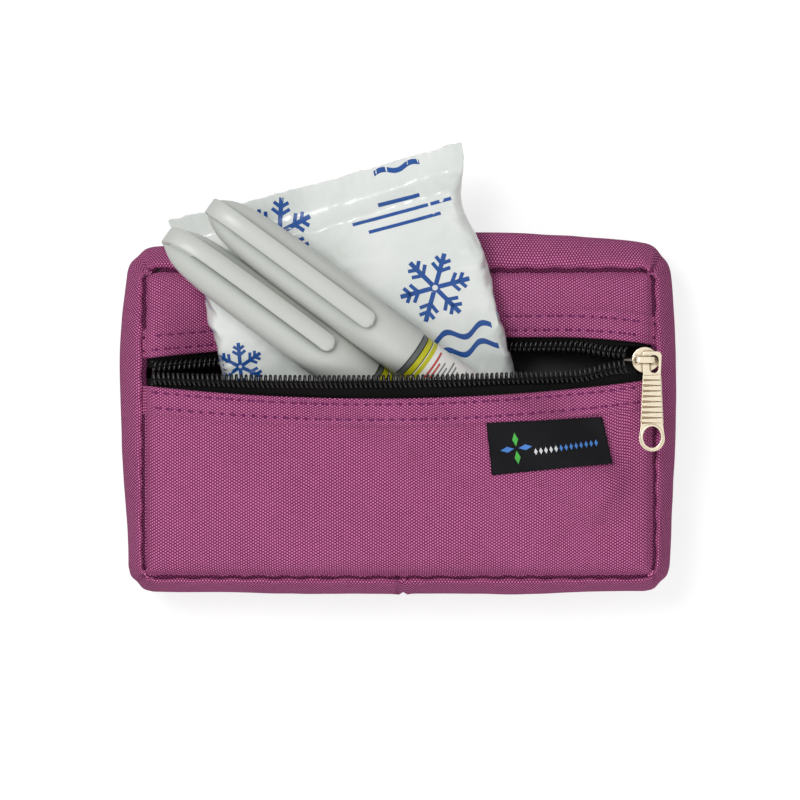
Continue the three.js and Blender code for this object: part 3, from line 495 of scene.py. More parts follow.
def weave_nodes(nodes, warp, weft):
    """Height of a plain weave from the pitches of its two yarns: each yarn shows where it crosses over"""
    uv = nodes.add("ShaderNodeUVMap", uv_map="weave")["UV"]
    split = nodes.add("ShaderNodeSeparateXYZ", {0: uv})
    waver = nodes.times(nodes.noise(uv, 90.0), 2.2)
    across, along = (nodes.plus(nodes.times(split[i], math.pi / (pitch * MM)), waver)
                     for i, pitch in enumerate((warp, weft)))
    crossing = nodes.times(nodes.math("COSINE", across), nodes.math("COSINE", along))
    ribs = nodes.math("COSINE", nodes.times(across, 2.0))
    yarns = nodes.plus(*(nodes.noise(uv, 1 / (weft * MM), 1.0, stretch) for stretch in ((1, 0.08, 1), (0.08, 1, 1))))
    uneven = nodes.times(nodes.math("SUBTRACT", yarns, 1.0), 0.12)
    woven = nodes.plus(nodes.times(crossing, 0.46), nodes.times(ribs, 0.16))
    return nodes.plus(nodes.plus(woven, 0.5), uneven), uv


def cloth(name, dark, middle, light, warp, weft, relief, gloss=0.85):
    """A plain weave: colours of its gaps (painted shade), its yarns and their tops (painted highlight), its two
    pitches and how high it stands
    """
    mat, nodes, shader = material(name, srgb(*middle), gloss, Specular_IOR_Level=0.12)
    height, uv = weave_nodes(nodes, warp, weft)
    broad = nodes.times(nodes.math("SUBTRACT", nodes.noise(uv, 28.0, 3.0), 0.5), 0.12)
    fuzz = nodes.bump(nodes.noise(uv, 2600.0, 3.0), 0.03, 0.5)
    stops = zip((0.08, 0.5, 0.95), (srgb(*tone) for tone in (dark, middle, light)))
    nodes.fill(shader, {"Base Color": nodes.ramp(nodes.plus(height, broad), *stops),
                        "Normal": nodes.bump(height, relief, 0.8, fuzz)})
    return mat


def uneven_gloss(nodes, place, roughness):
    return nodes.plus(nodes.times(nodes.noise(place, 240.0, 3.0), 0.16), roughness - 0.08)


def grained(name, color, roughness, grain_scale, grain, metallic=0.0, tint=0.06, **sockets):
    """A smooth material whose colour, gloss and surface vary a little, as moulded or cast pieces do"""
    color = srgb(*color)
    mat, nodes, shader = material(name, color, roughness, metallic, **sockets)
    place = nodes.place()
    dark, light = (tuple(min(1.0, c * share) for c in color) for share in (1 - tint, 1 + tint))
    nodes.fill(shader, {"Base Color": nodes.ramp(nodes.noise(place, 60.0, 4.0), (0.3, dark), (0.7, light)),
                        "Roughness": uneven_gloss(nodes, place, roughness),
                        "Normal": nodes.bump(nodes.noise(place, grain_scale, 3.0), grain, 0.6)})
    return mat


def painted_shade_color(nodes, place, distance, own, scale, share, *stops):
    """A colour that is darker where it is sheltered, as painted shade, and varies a little at random"""
    painted_shade = nodes.plus(nodes.sheltered(distance, own), nodes.times(nodes.noise(place, scale, 4.0), share))
    return nodes.ramp(painted_shade, *((at, srgb(*tone)) for at, tone in stops))


def nickel_material():
    """Champagne nickel, brushed, and darker between its ribs and beside other parts, as painted shade"""
    mat, nodes, shader = material("satin_nickel", srgb(222, 208, 184), 0.24, 1.0)
    place = nodes.place()
    brushed = nodes.bump(nodes.noise(place, 900.0, 3.0, (1, 0.12, 1)), 0.05, 0.6)
    # Painted shade: darker where the nickel's own ribs or other parts shelter it
    color = painted_shade_color(nodes, place, 1.3, False, 420.0, 0.16, (0.42, (58, 44, 34)), (0.74, (150, 130, 104)),
                       (0.92, (210, 196, 170)), (1.0, (226, 214, 190)))
    worn = nodes.bump(nodes.noise(place, 260.0, 2.0), 0.12, 0.5, brushed)
    nodes.fill(shader, {"Base Color": color, "Normal": worn})
    return mat


def cap_material():
    """Satin grey plastic, with painted shade in the corner beside the clip and under it"""
    mat, nodes, shader = material("satin_cap", srgb(196, 199, 194), 0.38)
    place = nodes.place()
    # Painted shade: darker where the cap's own clip shelters it
    color = painted_shade_color(nodes, place, 4.5, True, 60.0, 0.05, (0.5, (118, 121, 117)), (0.78, (166, 170, 164)),
                       (0.98, (196, 200, 194)), (1.0, (202, 205, 199)))
    nodes.fill(shader, {"Base Color": color, "Roughness": uneven_gloss(nodes, place, 0.38),
                        "Normal": nodes.bump(nodes.noise(place, 2600.0, 3.0), 0.02, 0.6)})
    return mat


def film_material():
    """Glossy white pouch film: thin, a little uneven, with fine crinkles"""
    mat, nodes, shader = material("pouch_film", srgb(220, 224, 221), 0.2, Coat_Weight=0.35, Coat_Roughness=0.1,
                                  Specular_IOR_Level=0.5)
    place = nodes.place()
    broad = nodes.bump(nodes.noise(place, 55.0, 4.0, (1, 0.7, 1)), 0.8, 0.55)
    color = nodes.ramp(nodes.noise(place, 34.0, 4.0), (0.25, srgb(206, 212, 209)), (0.5, srgb(224, 228, 224)),
                       (0.8, srgb(236, 238, 235)))
    fine = nodes.bump(nodes.noise(place, 260.0, 4.0, (1, 0.45, 1)), 0.2, 0.55, broad)
    nodes.fill(shader, {"Base Color": color, "Normal": fine})
    return mat


CANVAS_WEAVE = (0.77, 0.486, 0.2)
PLUM = cloth("plum_canvas", (60, 4, 38), (154, 66, 114), (232, 142, 192), *CANVAS_WEAVE)
LINING_CLOTH = cloth("coated_lining", (24, 22, 23), (54, 51, 52), (78, 74, 76), 0.3, 0.3, 0.05, 0.36)
TAPE_CLOTH = cloth("zip_tape_weave", (3, 2, 3), (10, 9, 10), (24, 22, 23), 0.5, 0.7, 0.12)
LABEL_CLOTH = cloth("satin_label", (4, 4, 6), (12, 12, 16), (26, 26, 31), 0.3, 0.3, 0.08, 0.6)
# A darker copy of the plum canvas, as painted shade, for the seam valleys and the padding's bound edges
SEAM_SHADE_CLOTH = cloth("seam_shade_edges", (30, 2, 20), (82, 30, 60), (140, 66, 112), *CANVAS_WEAVE)
THREAD = grained("plum_thread", (108, 20, 88), 0.7, 5200.0, 0.05)
COIL_NYLON = grained("coil_nylon", (7, 6, 6), 0.24, 2600.0, 0.02, Specular_IOR_Level=0.36)
FOAM_CELLS = grained("foam_cells", (84, 86, 90), 0.95, 2200.0, 0.2)
NICKEL = nickel_material()
# Darker nickel for the bars under the pull's ribs: painted shade in its hollows
HOLLOW_SHADE_NICKEL = grained("hollow_shade_nickel", (138, 116, 92), 0.5, 1500.0, 0.05, 0.8)
DARK_STEEL = grained("dark_steel", (92, 86, 82), 0.4, 1500.0, 0.03, 0.9)
CAP_PLASTIC = cap_material()
DARK_PLASTIC = grained("dark_plastic", (84, 88, 88), 0.42, 2600.0, 0.02)
OLIVE_PLASTIC = grained("olive_plastic", (184, 182, 14), 0.45, 2600.0, 0.02)
PEN_FILM = grained("pen_film_label", (232, 231, 226), 0.3, 900.0, 0.02, 0.0, 0.02)
RUBBER = grained("stopper_rubber", (110, 111, 114), 0.7, 2600.0, 0.04)
GEL = grained("gel_filling", (160, 195, 214), 0.3, 300.0, 0.1)
CLEAR = grained("clear_holder", (222, 230, 232), 0.12, 900.0, 0.01, Transmission_Weight=0.85)
GLASS = grained("cartridge_glass", (232, 240, 240), 0.04, 600.0, 0.005, Transmission_Weight=0.95)
WHITE_YARN, GREEN_YARN, BLUE_YARN = (grained(f"{name}_yarn", color, 0.7, 4200.0, 0.05) for name, color in (
    ("white", (214, 214, 218)), ("green", (70, 176, 66)), ("blue", (70, 128, 204))))
BLUE_INK, RED_INK, GREY_INK = (grained(f"{name}_ink", color, gloss, 1800.0, 0.01) for name, color, gloss in (
    ("blue", (8, 72, 146), 0.35), ("red", (178, 60, 56), 0.45), ("grey", (112, 114, 118), 0.45)))
FILM = film_material()


# Case: cloth, foam and lining walls, with the seams rolled inwards

EDGE = HALF_WIDTH - 0.25
STITCHES = {"lower": (1.8, 6.7), "upper": (2.5, 7.0)}


def hem(lip, rows, fold_end):
    """The hem's double cloth, its turned edge at the lip, and the grooves that its stitches pull"""
    fold = 0.8 * (1 - ease(lip, fold_end - 0.6, fold_end)) - 0.5 * (1 - ease(lip, 0.0, 0.8)) ** 2
    return fold, sum(-0.4 * bump(lip, row, 0.5) for row in rows)


def lower_top(x, y):
    """Height of the lower panel's cloth, with its rolls, folds, grooves and soft waves"""
    lip = lower_lip(x) - y
    calm = ease(lip, 0.0, 9.0) * ease(EDGE - abs(x), 0.0, 6.0) * ease(y - FRONT_BOTTOM, 0.0, 6.0)
    waves = 0.85 * rough(x, y, 0, 26.0, 3.1) + 0.42 * rough(x, y * 1.6, 0, 11.0, 7.7)
    pucker = 0.16 * math.sin(x / 1.15 + 2 * rough(x, 0, 0, 14.0)) * bump(y, FRONT_BOTTOM, 4.5)
    fold, grooves = hem(lip, STITCHES["lower"], 9.3)
    return lower_height(x, y) + waves * calm + pucker + fold + grooves - seam_fall(x, [y - FRONT_BOTTOM - 1.5])


def upper_top(x, y):
    lip = y - upper_lip(x)
    calm = ease(lip, 0.0, 7.0) * ease(EDGE - abs(x), 0.0, 6.0) * ease(FRONT_TOP - y, 0.0, 5.0)
    waves = 0.9 * rough(x, y, 4, 24.0, 5.3) + 0.4 * rough(x, y * 1.5, 4, 10.0, 1.7)
    fold, grooves = hem(lip, STITCHES["upper"], 9.9)
    return upper_height(x, y) + waves * calm + fold + grooves - seam_fall(x, [FRONT_TOP - 1.5 - y])


def lip_shares(length, far_steps):
    """Shares along a panel from its lip: close together where the hem and its stitches are, wider beyond"""
    near = [i * 0.5 for i in range(23)]
    far = [11.0 + (length - 11.0) * i / far_steps for i in range(1, far_steps + 1)]
    return [d / length for d in near + far]


def side_shares(count):
    """Shares across a panel, close together at both side seams"""
    near = [0, 0.004, 0.009, 0.015, 0.022, 0.03]
    return near + [mix(0.04, 0.96, s) for s in shares(count)] + [1 - s for s in reversed(near)]


def panel_grid(rows, y_at, top_of):
    """Rows of points over a front panel whose side edges follow the rounded seam line"""
    grid = []
    for v in rows:
        row = []
        for u in side_shares(110):
            y = y_at((2 * u - 1) * EDGE, v)
            x = (2 * u - 1) * half_width(y, FRONT_BOTTOM, FRONT_TOP, EDGE, CORNER)
            row.append(Vector((x, y, top_of(x, y))))
        grid.append(row)
    return grid


lower_rows = [0, 0.008, 0.018, 0.03, 0.045] + [1 - s for s in reversed(lip_shares(60, 26)) if 1 - s > 0.06]
LOWER_GRID = panel_grid(lower_rows, lambda x, v: mix(FRONT_BOTTOM + 0.2, lower_lip(x), v), lower_top)
upper_rows = [s for s in lip_shares(24, 12) if s < 0.9] + [0.93, 0.955, 0.975, 0.99, 1]
UPPER_GRID = panel_grid(upper_rows, lambda x, v: mix(upper_lip(x), FRONT_TOP - 0.2, v), upper_top)
BAND_LENGTH = 2 * (2 * HALF_WIDTH + FRONT_TOP - FRONT_BOTTOM - 4 * CORNER) + 2 * math.pi * CORNER
BAND_HEIGHT = FRONT_HEIGHT - REAR_HEIGHT


def band_point(u, v):
    """The side band's cloth, drawn in at its seams and gathered at its corners"""
    p = side_band(u, v)
    _, out = outline(u, FRONT_BOTTOM, FRONT_TOP)
    along = u * BAND_LENGTH
    height = clamp(v) * BAND_HEIGHT
    from_top = BAND_HEIGHT - height
    roundness = abs(out.x * out.y) * 2
    crease = -2.2 * roundness ** 14 * ease(height, 16.0, 33.0) - 0.5 * roundness ** 8
    crease -= 0.6 * bump(roundness, 0.4, 0.2) * ease(height, 14.0, 32.0)
    pucker = 0.22 * math.sin(along / 1.2 + 3 * rough(along, 0, 0, 17.0)) * math.exp(-from_top / 4.0)
    waves = (0.45 * rough(p.x, p.y, p.z, 30.0, 2.2) + 0.15 * rough(p.x, p.y, p.z, 9.0, 4.4)) * hump(v)
    join = 0
    if p.y < FRONT_BOTTOM:
        join = -0.6 * bump(p.x, 1.3, 0.5) + 0.3 * (bump(p.x, -0.4, 0.8) + bump(p.x, 3.0, 0.8))
    push = crease + pucker + waves + join - 0.35 * math.exp(-from_top / 1.0)
    roll = 3.6 * math.exp(-from_top / 1.1) + 0.8 * math.exp(-height / 1.7)
    return Vector((p.x + out.x * push, p.y + out.y * push, p.z - roll + 1.0 * math.exp(-height / 1.7)))


band_rows = [0, 0.02, 0.045] + [mix(0.08, 0.84, s) for s in shares(20)]
band_rows += [0.87, 0.9, 0.925, 0.945, 0.96, 0.972, 0.982, 0.991, 1]
band_columns = []
for part, count in enumerate([58, 14, 62, 14, 116, 14, 62, 14, 58]):
    start, width = (parts / sum(BAND_SHARES) for parts in (sum(BAND_SHARES[:part]), BAND_SHARES[part]))
    band_columns += [start + width * i / count for i in range(count)]
BAND_GRID = [[band_point(u, v) for u in band_columns] for v in band_rows]


def back_top(u, v):
    """The back panel's cloth: flat, with its rim lifted to the rear seam"""
    y = mix(REAR_BOTTOM + 0.2, REAR_TOP - 0.2, v)
    x = (1 - 2 * u) * half_width(y, REAR_BOTTOM, REAR_TOP, EDGE, CORNER)
    rim = min(INSIDE - abs(x), y - REAR_BOTTOM - INSET, REAR_TOP - INSET - y)
    soft = 0.18 * rough(x, y, 0, 18.0, 6.0) * ease(rim, 4.0, 12.0)
    return Vector((x, y, 0.25 + max(-0.2, soft) + 1.4 * (1 - ease(rim, 0, 7.0))))


BACK_GRID = [[back_top(u, v) for u in side_shares(40)] for v in side_shares(30)]


def trimmed(grid, columns, first, last):
    return [row[columns:len(row) - columns] for row in grid[first:len(grid) - last]]


walls = {
    "lower": (LOWER_GRID, trimmed(LOWER_GRID, 5, 5, 4), False),
    "upper": (UPPER_GRID, trimmed(UPPER_GRID, 5, 4, 5), False),
    "back": (BACK_GRID, trimmed(BACK_GRID, 4, 4, 4), False),
    "band": (BAND_GRID, BAND_GRID[3:-6], True),
}
for wall, (grid, inner, closed) in walls.items():
    canvas = wall_layer(f"{wall}_canvas", grid, 0.0, FABRIC, "case", PLUM, closed, turned=closed)
    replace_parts(canvas, f"{wall}_cloth")
    foam = wall_layer(f"{wall}_padding", inner, FABRIC + GAP, FOAM, "case", FOAM_CELLS, closed)
    bind_edges(foam, inner, closed, SEAM_SHADE_CLOTH)
    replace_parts(foam, f"{wall}_foam")
    depth = FABRIC + FOAM + 2 * GAP
    lining = wall_layer(f"{wall}_inner_face", inner, depth, LINING, "case", LINING_CLOTH, closed)
    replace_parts(lining, f"{wall}_lining")


# Seams: the turned-in edges that close each valley between a panel and the side band, in a darker plum that is
# painted shade

def seam(name, row, inward, drop, radius):
    path = []
    for u, p in zip(band_columns, row):
        _, out = outline(u, FRONT_BOTTOM, FRONT_TOP)
        path.append(Vector((p.x - out.x * inward, p.y - out.y * inward, p.z + drop)))
    woven_tube(name, path, radius, 8, SEAM_SHADE_CLOTH, closed=True)


seam("front_seam", BAND_GRID[-1], 0.5, -1.0, 1.05)
seam("rear_seam", BAND_GRID[0], 0.7, -0.4, 1.0)


# Stitching along the two hems

def stitch_row(name, place_on, start, end, pitch=3.4, length=2.6, radius=0.31):
    """A row of single stitches: short threads that rise out of the cloth and go back into it"""
    parts = []
    for i in range(int((end - start) / pitch)):
        path = []
        for t in shares(6):
            p, n = place_on(start + pitch * i + length * t)
            path.append(p + n * (-0.22 + 0.42 * math.sin(math.pi * t) ** 0.6))
        parts.append(tube(path, [radius * (0.7 + 0.3 * math.sin(math.pi * t)) for t in shares(6)], 6))
    new_piece(name, merged(parts), "case", THREAD)


def on_panel(top_of, y_of, step=0.4):
    def place(x):
        y = y_of(x)
        dx = Vector((step, y_of(x + step) - y, top_of(x + step, y_of(x + step)) - top_of(x, y)))
        dy = Vector((0, step, top_of(x, y + step) - top_of(x, y)))
        return Vector((x, y, top_of(x, y))), dx.cross(dy).normalized()
    return place


for side, top_of, lip, sign in (("lower", lower_top, lower_lip, -1), ("upper", upper_top, upper_lip, 1)):
    for number, distance in enumerate(STITCHES[side], 1):
        place = on_panel(top_of, lambda x, d=distance, lip=lip, sign=sign: lip(x) + sign * d)
        stitch_row(f"{side}_hem_stitches_{number}", place, -EDGE + 2.2 + number, EDGE - 3)


# Zip: tapes, coil rows, the loops that the slider draws together, slider and pull

COIL_PITCH, COIL_WIDTH, COIL_HEIGHT = 1.57, 4.0, 1.7
COIL_START, COIL_JOIN, COIL_END = -79.5, 56.0, 74.1
TAPE_DEPTH, UPPER_SHOW = 1.0, 3.1
ROW_APART, EDGE_APART = 2.15, 4.4


def lower_row(x):
    return lower_lip(x) + (2.2 + 3.2 * (1 - (x / HALF_WIDTH) ** 2))


def upper_edge(x):
    row = upper_lip(x) - UPPER_SHOW
    return mix(row, max(row, SLIDER.y + EDGE_APART), ease(x, 44, 54))


def draw(x):
    return ease(x, COIL_JOIN, COIL_END)


ZIP_ROWS = {
    "lower": {
        "row": lambda x: mix(lower_row(x), SLIDER.y - ROW_APART, draw(x)),
        "edge": lambda x: min(lower_row(x), SLIDER.y - EDGE_APART),
        "lip": lower_lip, "height": lower_height, "sign": 1,
    },
    "upper": {
        "row": lambda x: mix(upper_lip(x) - UPPER_SHOW, SLIDER.y + ROW_APART, draw(x)),
        "edge": upper_edge, "lip": upper_lip, "height": upper_height, "sign": -1,
    },
}


def tape_grid(side):
    zip_row = ZIP_ROWS[side]
    grid = []
    for v in shares(14):
        line = []
        for x in [mix(-EDGE + 1.5, EDGE - 1.5, s) for s in shares(120)]:
            y = mix(zip_row["lip"](x) - zip_row["sign"] * 3.0, zip_row["edge"](x), v)
            sag = 0.12 * rough(x, y, 9, 6.0)
            line.append(Vector((x, y, zip_row["height"](x, y) - TAPE_DEPTH + sag - seam_fall(x, []))))
        grid.append(line)
    return grid if zip_row["sign"] > 0 else grid[::-1]


def loop_point(side, x, angle):
    """A point of the coil at a place along the zip and an angle round its flat loop"""
    zip_row = ZIP_ROWS[side]
    y = zip_row["row"](x)
    z = zip_row["height"](x, y) - TAPE_DEPTH + COIL_HEIGHT / 2 - seam_fall(x, [])
    flat = lambda v: math.copysign(abs(v) ** 0.72, v)
    across = flat(math.cos(angle)) * (COIL_WIDTH / 2 - 0.3)
    up = flat(math.sin(angle)) * (COIL_HEIGHT / 2 - 0.25)
    return Vector((x, y + zip_row["sign"] * across, z + up))


def coil_advance(share):
    """How far along its pitch a loop has come: its upper strand leans where it leaves the mouth"""
    return mix(0.14, 0.5, share * 2) if share < 0.5 else 0.5 + 0.64 * (share * 2 - 1) ** 1.9


def coil_part(side, start, turns, steps=18):
    path, radii = [], []
    for i in range(turns * steps + 1):
        angle = 2 * math.pi * i / steps - math.pi
        turn, share = divmod(i, steps)
        path.append(loop_point(side, start + COIL_PITCH * (turn + coil_advance(share / steps)), angle))
        radii.append(0.46 + 0.12 * max(0.0, math.cos(angle)) ** 4)
    return tube(path, radii, 6, up=Vector((1, 0, 0)))


def cord_point(side, x):
    middle = loop_point(side, x, 0).lerp(loop_point(side, x, math.pi), 0.62)
    return middle + Vector((0, 0, 0.12 * math.sin(8 * x)))


def sewn_point(side, x):
    """The thread that holds a coil row down, along the top of its loops"""
    lift = Vector((0, -0.15 * ZIP_ROWS[side]["sign"], 0.42 + 0.12 * math.sin(4 * x)))
    return loop_point(side, x, math.pi / 2) + lift


SEWING = 0.26
for side in ZIP_ROWS:
    tape = wall_layer(f"{side}_zip_tape", tape_grid(side), 0.0, 0.5, "case", TAPE_CLOTH)
    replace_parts(tape, f"{side}_tape")
    turns = int((COIL_JOIN - COIL_START) / COIL_PITCH)
    coil = outward(coil_part(side, COIL_START, turns))
    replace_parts(new_piece(f"{side}_zip_coil", coil, "case", COIL_NYLON), f"{side}_coil")
    for name, point, steps, radius in (("cord", cord_point, 260, 0.72), ("sewing", sewn_point, 430, SEWING)):
        path = [point(side, mix(COIL_START, COIL_JOIN, s)) for s in shares(steps)]
        woven_tube(f"{side}_coil_{name}", path, radius, 6, TAPE_CLOTH)
    loops = []
    start = COIL_START + turns * COIL_PITCH
    while start < COIL_END - COIL_PITCH:
        nylon = coil_part(side, start, 1)
        thread = tube([sewn_point(side, start + COIL_PITCH * s) for s in shares(4)], SEWING, 6)
        name = f"{side}_coil_loop_{len(loops) + 1}"
        loop = new_piece(name, merged([nylon, thread]), "case", COIL_NYLON)
        second_material(loop, TAPE_CLOTH, lambda polygon, first=len(nylon[1]): polygon.index >= first)
        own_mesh(loop)
        loops.append(loop)
        start += COIL_PITCH
    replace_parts(loops[0], f"{side}_coil_end")


def arc(cx, cy, radius, start, end, steps):
    turns = [math.radians(mix(start, end, s)) for s in shares(steps)]
    return [(cx + radius * math.cos(turn), cy + radius * math.sin(turn)) for turn in turns]


def metal(name, parts, origin, body, bevel=0.0, segments=3, finish=NICKEL):
    """Parts joined in one piece of metal, with its sharp edges rounded"""
    part = merged([placed(part, Matrix.Translation(origin)) for part in parts])
    piece = new_piece(name, part, body, finish, smooth=False)
    if bevel:
        edges = piece.modifiers.new("edges", "BEVEL")
        edges.width = bevel * MM
        edges.segments = segments
        edges.limit_method = "ANGLE"
        edges.angle_limit = math.radians(35)
        edges.harden_normals = True
    return piece


# The slider's two plates, post and side lips; the upper plate has a raised seat at each end of the bail
HALF_GAP = 0.95
TEARDROP = arc(0, 0, 4.1, 60, 300, 40) + arc(1.7, 0, 3.1, -60, 60, 24)
SIDE_LIP = [(0.0, 2.25), (1.5, 2.9), (3.6, 2.5), (4.6, 1.5), (3.8, 1.3), (1.6, 2.1)]
plates = [prism(TEARDROP, HALF_GAP, HALF_GAP + 0.95), prism(TEARDROP, -HALF_GAP - 0.95, -HALF_GAP),
          prism([(-3.1, 0), (-0.5, -0.7), (-0.5, 0.7)], -HALF_GAP - 0.2, HALF_GAP + 0.2)]
plates += [prism([(x, s * y) for x, y in SIDE_LIP], -HALF_GAP - 0.3, HALF_GAP + 0.3) for s in (1, -1)]
plates += [prism(arc(x, 0, 1.5, 0, 350, 20), HALF_GAP + 0.7, HALF_GAP + 1.35) for x in (-2.6, 2.7)]
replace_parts(metal("slider_plates", plates, SLIDER, "slider", 0.22), "slider_body")


def strap(path, width, thickness):
    """A flat bar along a path in the XZ plane, with its width along Y"""
    verts = []
    for i, p in enumerate(path):
        along = (path[min(i + 1, len(path) - 1)] - path[max(i - 1, 0)]).normalized()
        out = Vector((0, 1, 0)).cross(along).normalized() * (thickness / 2)
        side = Vector((0, width / 2, 0))
        verts += [p + out + side, p + out - side, p - out - side, p - out + side]
    last = (len(path) - 1) * 4
    return verts, ring_faces(len(path), 4) + [(3, 2, 1, 0), (last, last + 1, last + 2, last + 3)]


BAIL_LEFT, BAIL_RIGHT, BAIL_FOOT, BAIL_ROUND = -2.75, 2.85, HALF_GAP + 0.8, 1.1
bail_path = [(BAIL_LEFT, BAIL_FOOT), (BAIL_LEFT, BAIL_FOOT + 1.4)]
bail_path += arc(BAIL_LEFT + BAIL_ROUND, BAIL_FOOT + 1.4, BAIL_ROUND, 165, 90, 5)
bail_path += arc(BAIL_RIGHT - BAIL_ROUND, BAIL_FOOT + 1.4, BAIL_ROUND, 90, 0, 6) + [(BAIL_RIGHT, BAIL_FOOT)]
bail = strap([Vector((x, 0, z)) for x, z in bail_path], 1.9, 1.0)
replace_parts(metal("slider_bail_bar", [bail], SLIDER, "slider", 0.25), "slider_bail")
tongue = prism([(-6.6, -0.25), (-3.4, -0.55), (-3.4, 0.55), (-6.6, 0.25)], 0.2, 0.7)
metal("slider_tongue", [tongue], SLIDER, "slider", 0.12, 2, DARK_STEEL)

# The pull: a tab with a slot round the bail's leg, wedge-shaped ribs and a large eye
PIVOT = Vector((81.6, 17.4, 42.8))
MIDDLE, EYE_Y, RIB_PITCH = -0.7, -24.7, 1.72


def pull_outline():
    left, right = [], []
    for t in shares(24):
        y = mix(-5.0, -20.6, t)
        wide = mix(5.9, 7.3, t) / 2
        scallop = 0.16 * abs(math.sin(math.pi * (y + 5.0) / RIB_PITCH)) ** 0.5 if -20 < y < -5.2 else 0
        left.append((MIDDLE - wide - scallop + 0.1, y))
        right.append((MIDDLE + wide + scallop - 0.1, y))
    top = arc(2.4 - 1.45, 2.7 - 1.45, 1.45, 0, 90, 10) + arc(-3.8 + 1.45, 2.7 - 1.45, 1.45, 90, 180, 10)
    return top + left + arc(MIDDLE, -29.3 + 4.15, 4.15, 180, 360, 36) + right[::-1]


def eye_ring(half_wide, half_long):
    turns = [2 * math.pi * i / 40 for i in range(40)]
    return [(MIDDLE + half_wide * math.cos(a), EYE_Y + half_long * math.sin(a)) for a in turns]


slot_hole = arc(0, 0.05, 1.45, 0, 180, 14) + arc(0, -2.75, 1.45, 180, 360, 14)
eye = eye_ring(2.9, 3.45)
tab = [prism(pull_outline(), 0, 1.2, (slot_hole, eye)), prism(eye_ring(3.6, 4.15), 1.1, 1.42, (eye,))]
# Dark nickel bars under each rib's lower edge, as painted shade
hollows = []
for i in range(9):
    y = -5.6 - i * RIB_PITCH
    wide = mix(5.6, 6.9, i / 9) / 2
    left, right = MIDDLE - wide, MIDDLE + wide
    tab.append(prism([(left, y - 0.5), (right, y - 0.78), (right, y + 0.78), (left, y + 0.45)], 1.1, 1.5))
    point = mix(left, right, 0.72 if i % 2 else 0.5)
    hollow = [(left + 0.1, y - 1.2), (point, y - 0.92), (point, y - 0.84), (left + 0.1, y - 0.56)]
    hollows.append(prism(hollow, 1.15, 1.235))
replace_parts(metal("zip_pull", tab, PIVOT, "pull", 0.16), "pull_tab")
metal("zip_pull_hollows", hollows, PIVOT, "pull", finish=HOLLOW_SHADE_NICKEL)


# Cold pack: a pouch of film, inflated as cloth, flattened to the gel's thickness, with crimped end seals

COLUMNS, ROWS, SEAL_ROWS = 84, 96, 5
SIM_SCALE, SIM_FRAMES = 10.0, 26


def quads(rows, columns, step=1):
    """The corners of each cell of a grid, in order round it"""
    return [((r, c), (r, c + step), (r + step, c + step), (r + step, c)) for r in rows for c in columns]


def pouch_flat():
    """The flat pouch: front and back share their side edges and the whole of both end seals"""
    verts, faces, index = [], [], {}
    for side in (1, -1):
        for r in range(ROWS + 1):
            for c in range(COLUMNS + 1):
                sealed = r <= SEAL_ROWS or r >= ROWS - SEAL_ROWS or c in (0, COLUMNS)
                if sealed and side < 0:
                    index[side, r, c] = index[1, r, c]
                    continue
                v = r / ROWS
                width = mix(PACK["bottom"], PACK["top"], v)
                index[side, r, c] = len(verts)
                crinkle = 0.5 * rough(c, r, side, 5.0, 0.7) + 0.25 * rough(c, r, side, 2.2, 3.0)
                verts.append(Vector(((c / COLUMNS - 0.5) * width, (v - 0.5) * PACK["length"],
                                     0.0 if sealed else side * 0.5 + crinkle * 0.4)))
    for side, rows in ((1, range(ROWS)), (-1, range(SEAL_ROWS, ROWS - SEAL_ROWS))):
        for cell in quads(rows, range(COLUMNS)):
            faces.append(tuple(index[side, r, c] for r, c in cell[::side]))
    return verts, faces, index


def inflate(verts, faces):
    """Where cloth with air inside settles, starting from the flat pouch; run larger than life for steadiness"""
    mesh = bpy.data.meshes.new("pouch_sim")
    mesh.from_pydata([v * MM * SIM_SCALE for v in verts], [], faces)
    body = bpy.data.objects.new("pouch_sim", mesh)
    scene = bpy.context.scene
    scene.collection.objects.link(body)
    modifier = body.modifiers.new("cloth", "CLOTH")
    settings = modifier.settings
    settings.quality = 5
    settings.mass = 0.25
    settings.tension_stiffness = settings.compression_stiffness = 25
    settings.shear_stiffness = 12
    settings.bending_stiffness = 0.12
    settings.use_pressure = True
    settings.uniform_pressure_force = 2.2
    settings.effector_weights.gravity = 0
    modifier.collision_settings.use_collision = False
    modifier.point_cache.frame_start, modifier.point_cache.frame_end = 1, 30
    for step in range(1, SIM_FRAMES + 1):
        scene.frame_set(step)
    settled = body.evaluated_get(bpy.context.evaluated_depsgraph_get())
    found = [v.co / (MM * SIM_SCALE) for v in settled.data.vertices]
    scene.frame_set(1)
    bpy.data.objects.remove(body)
    return found


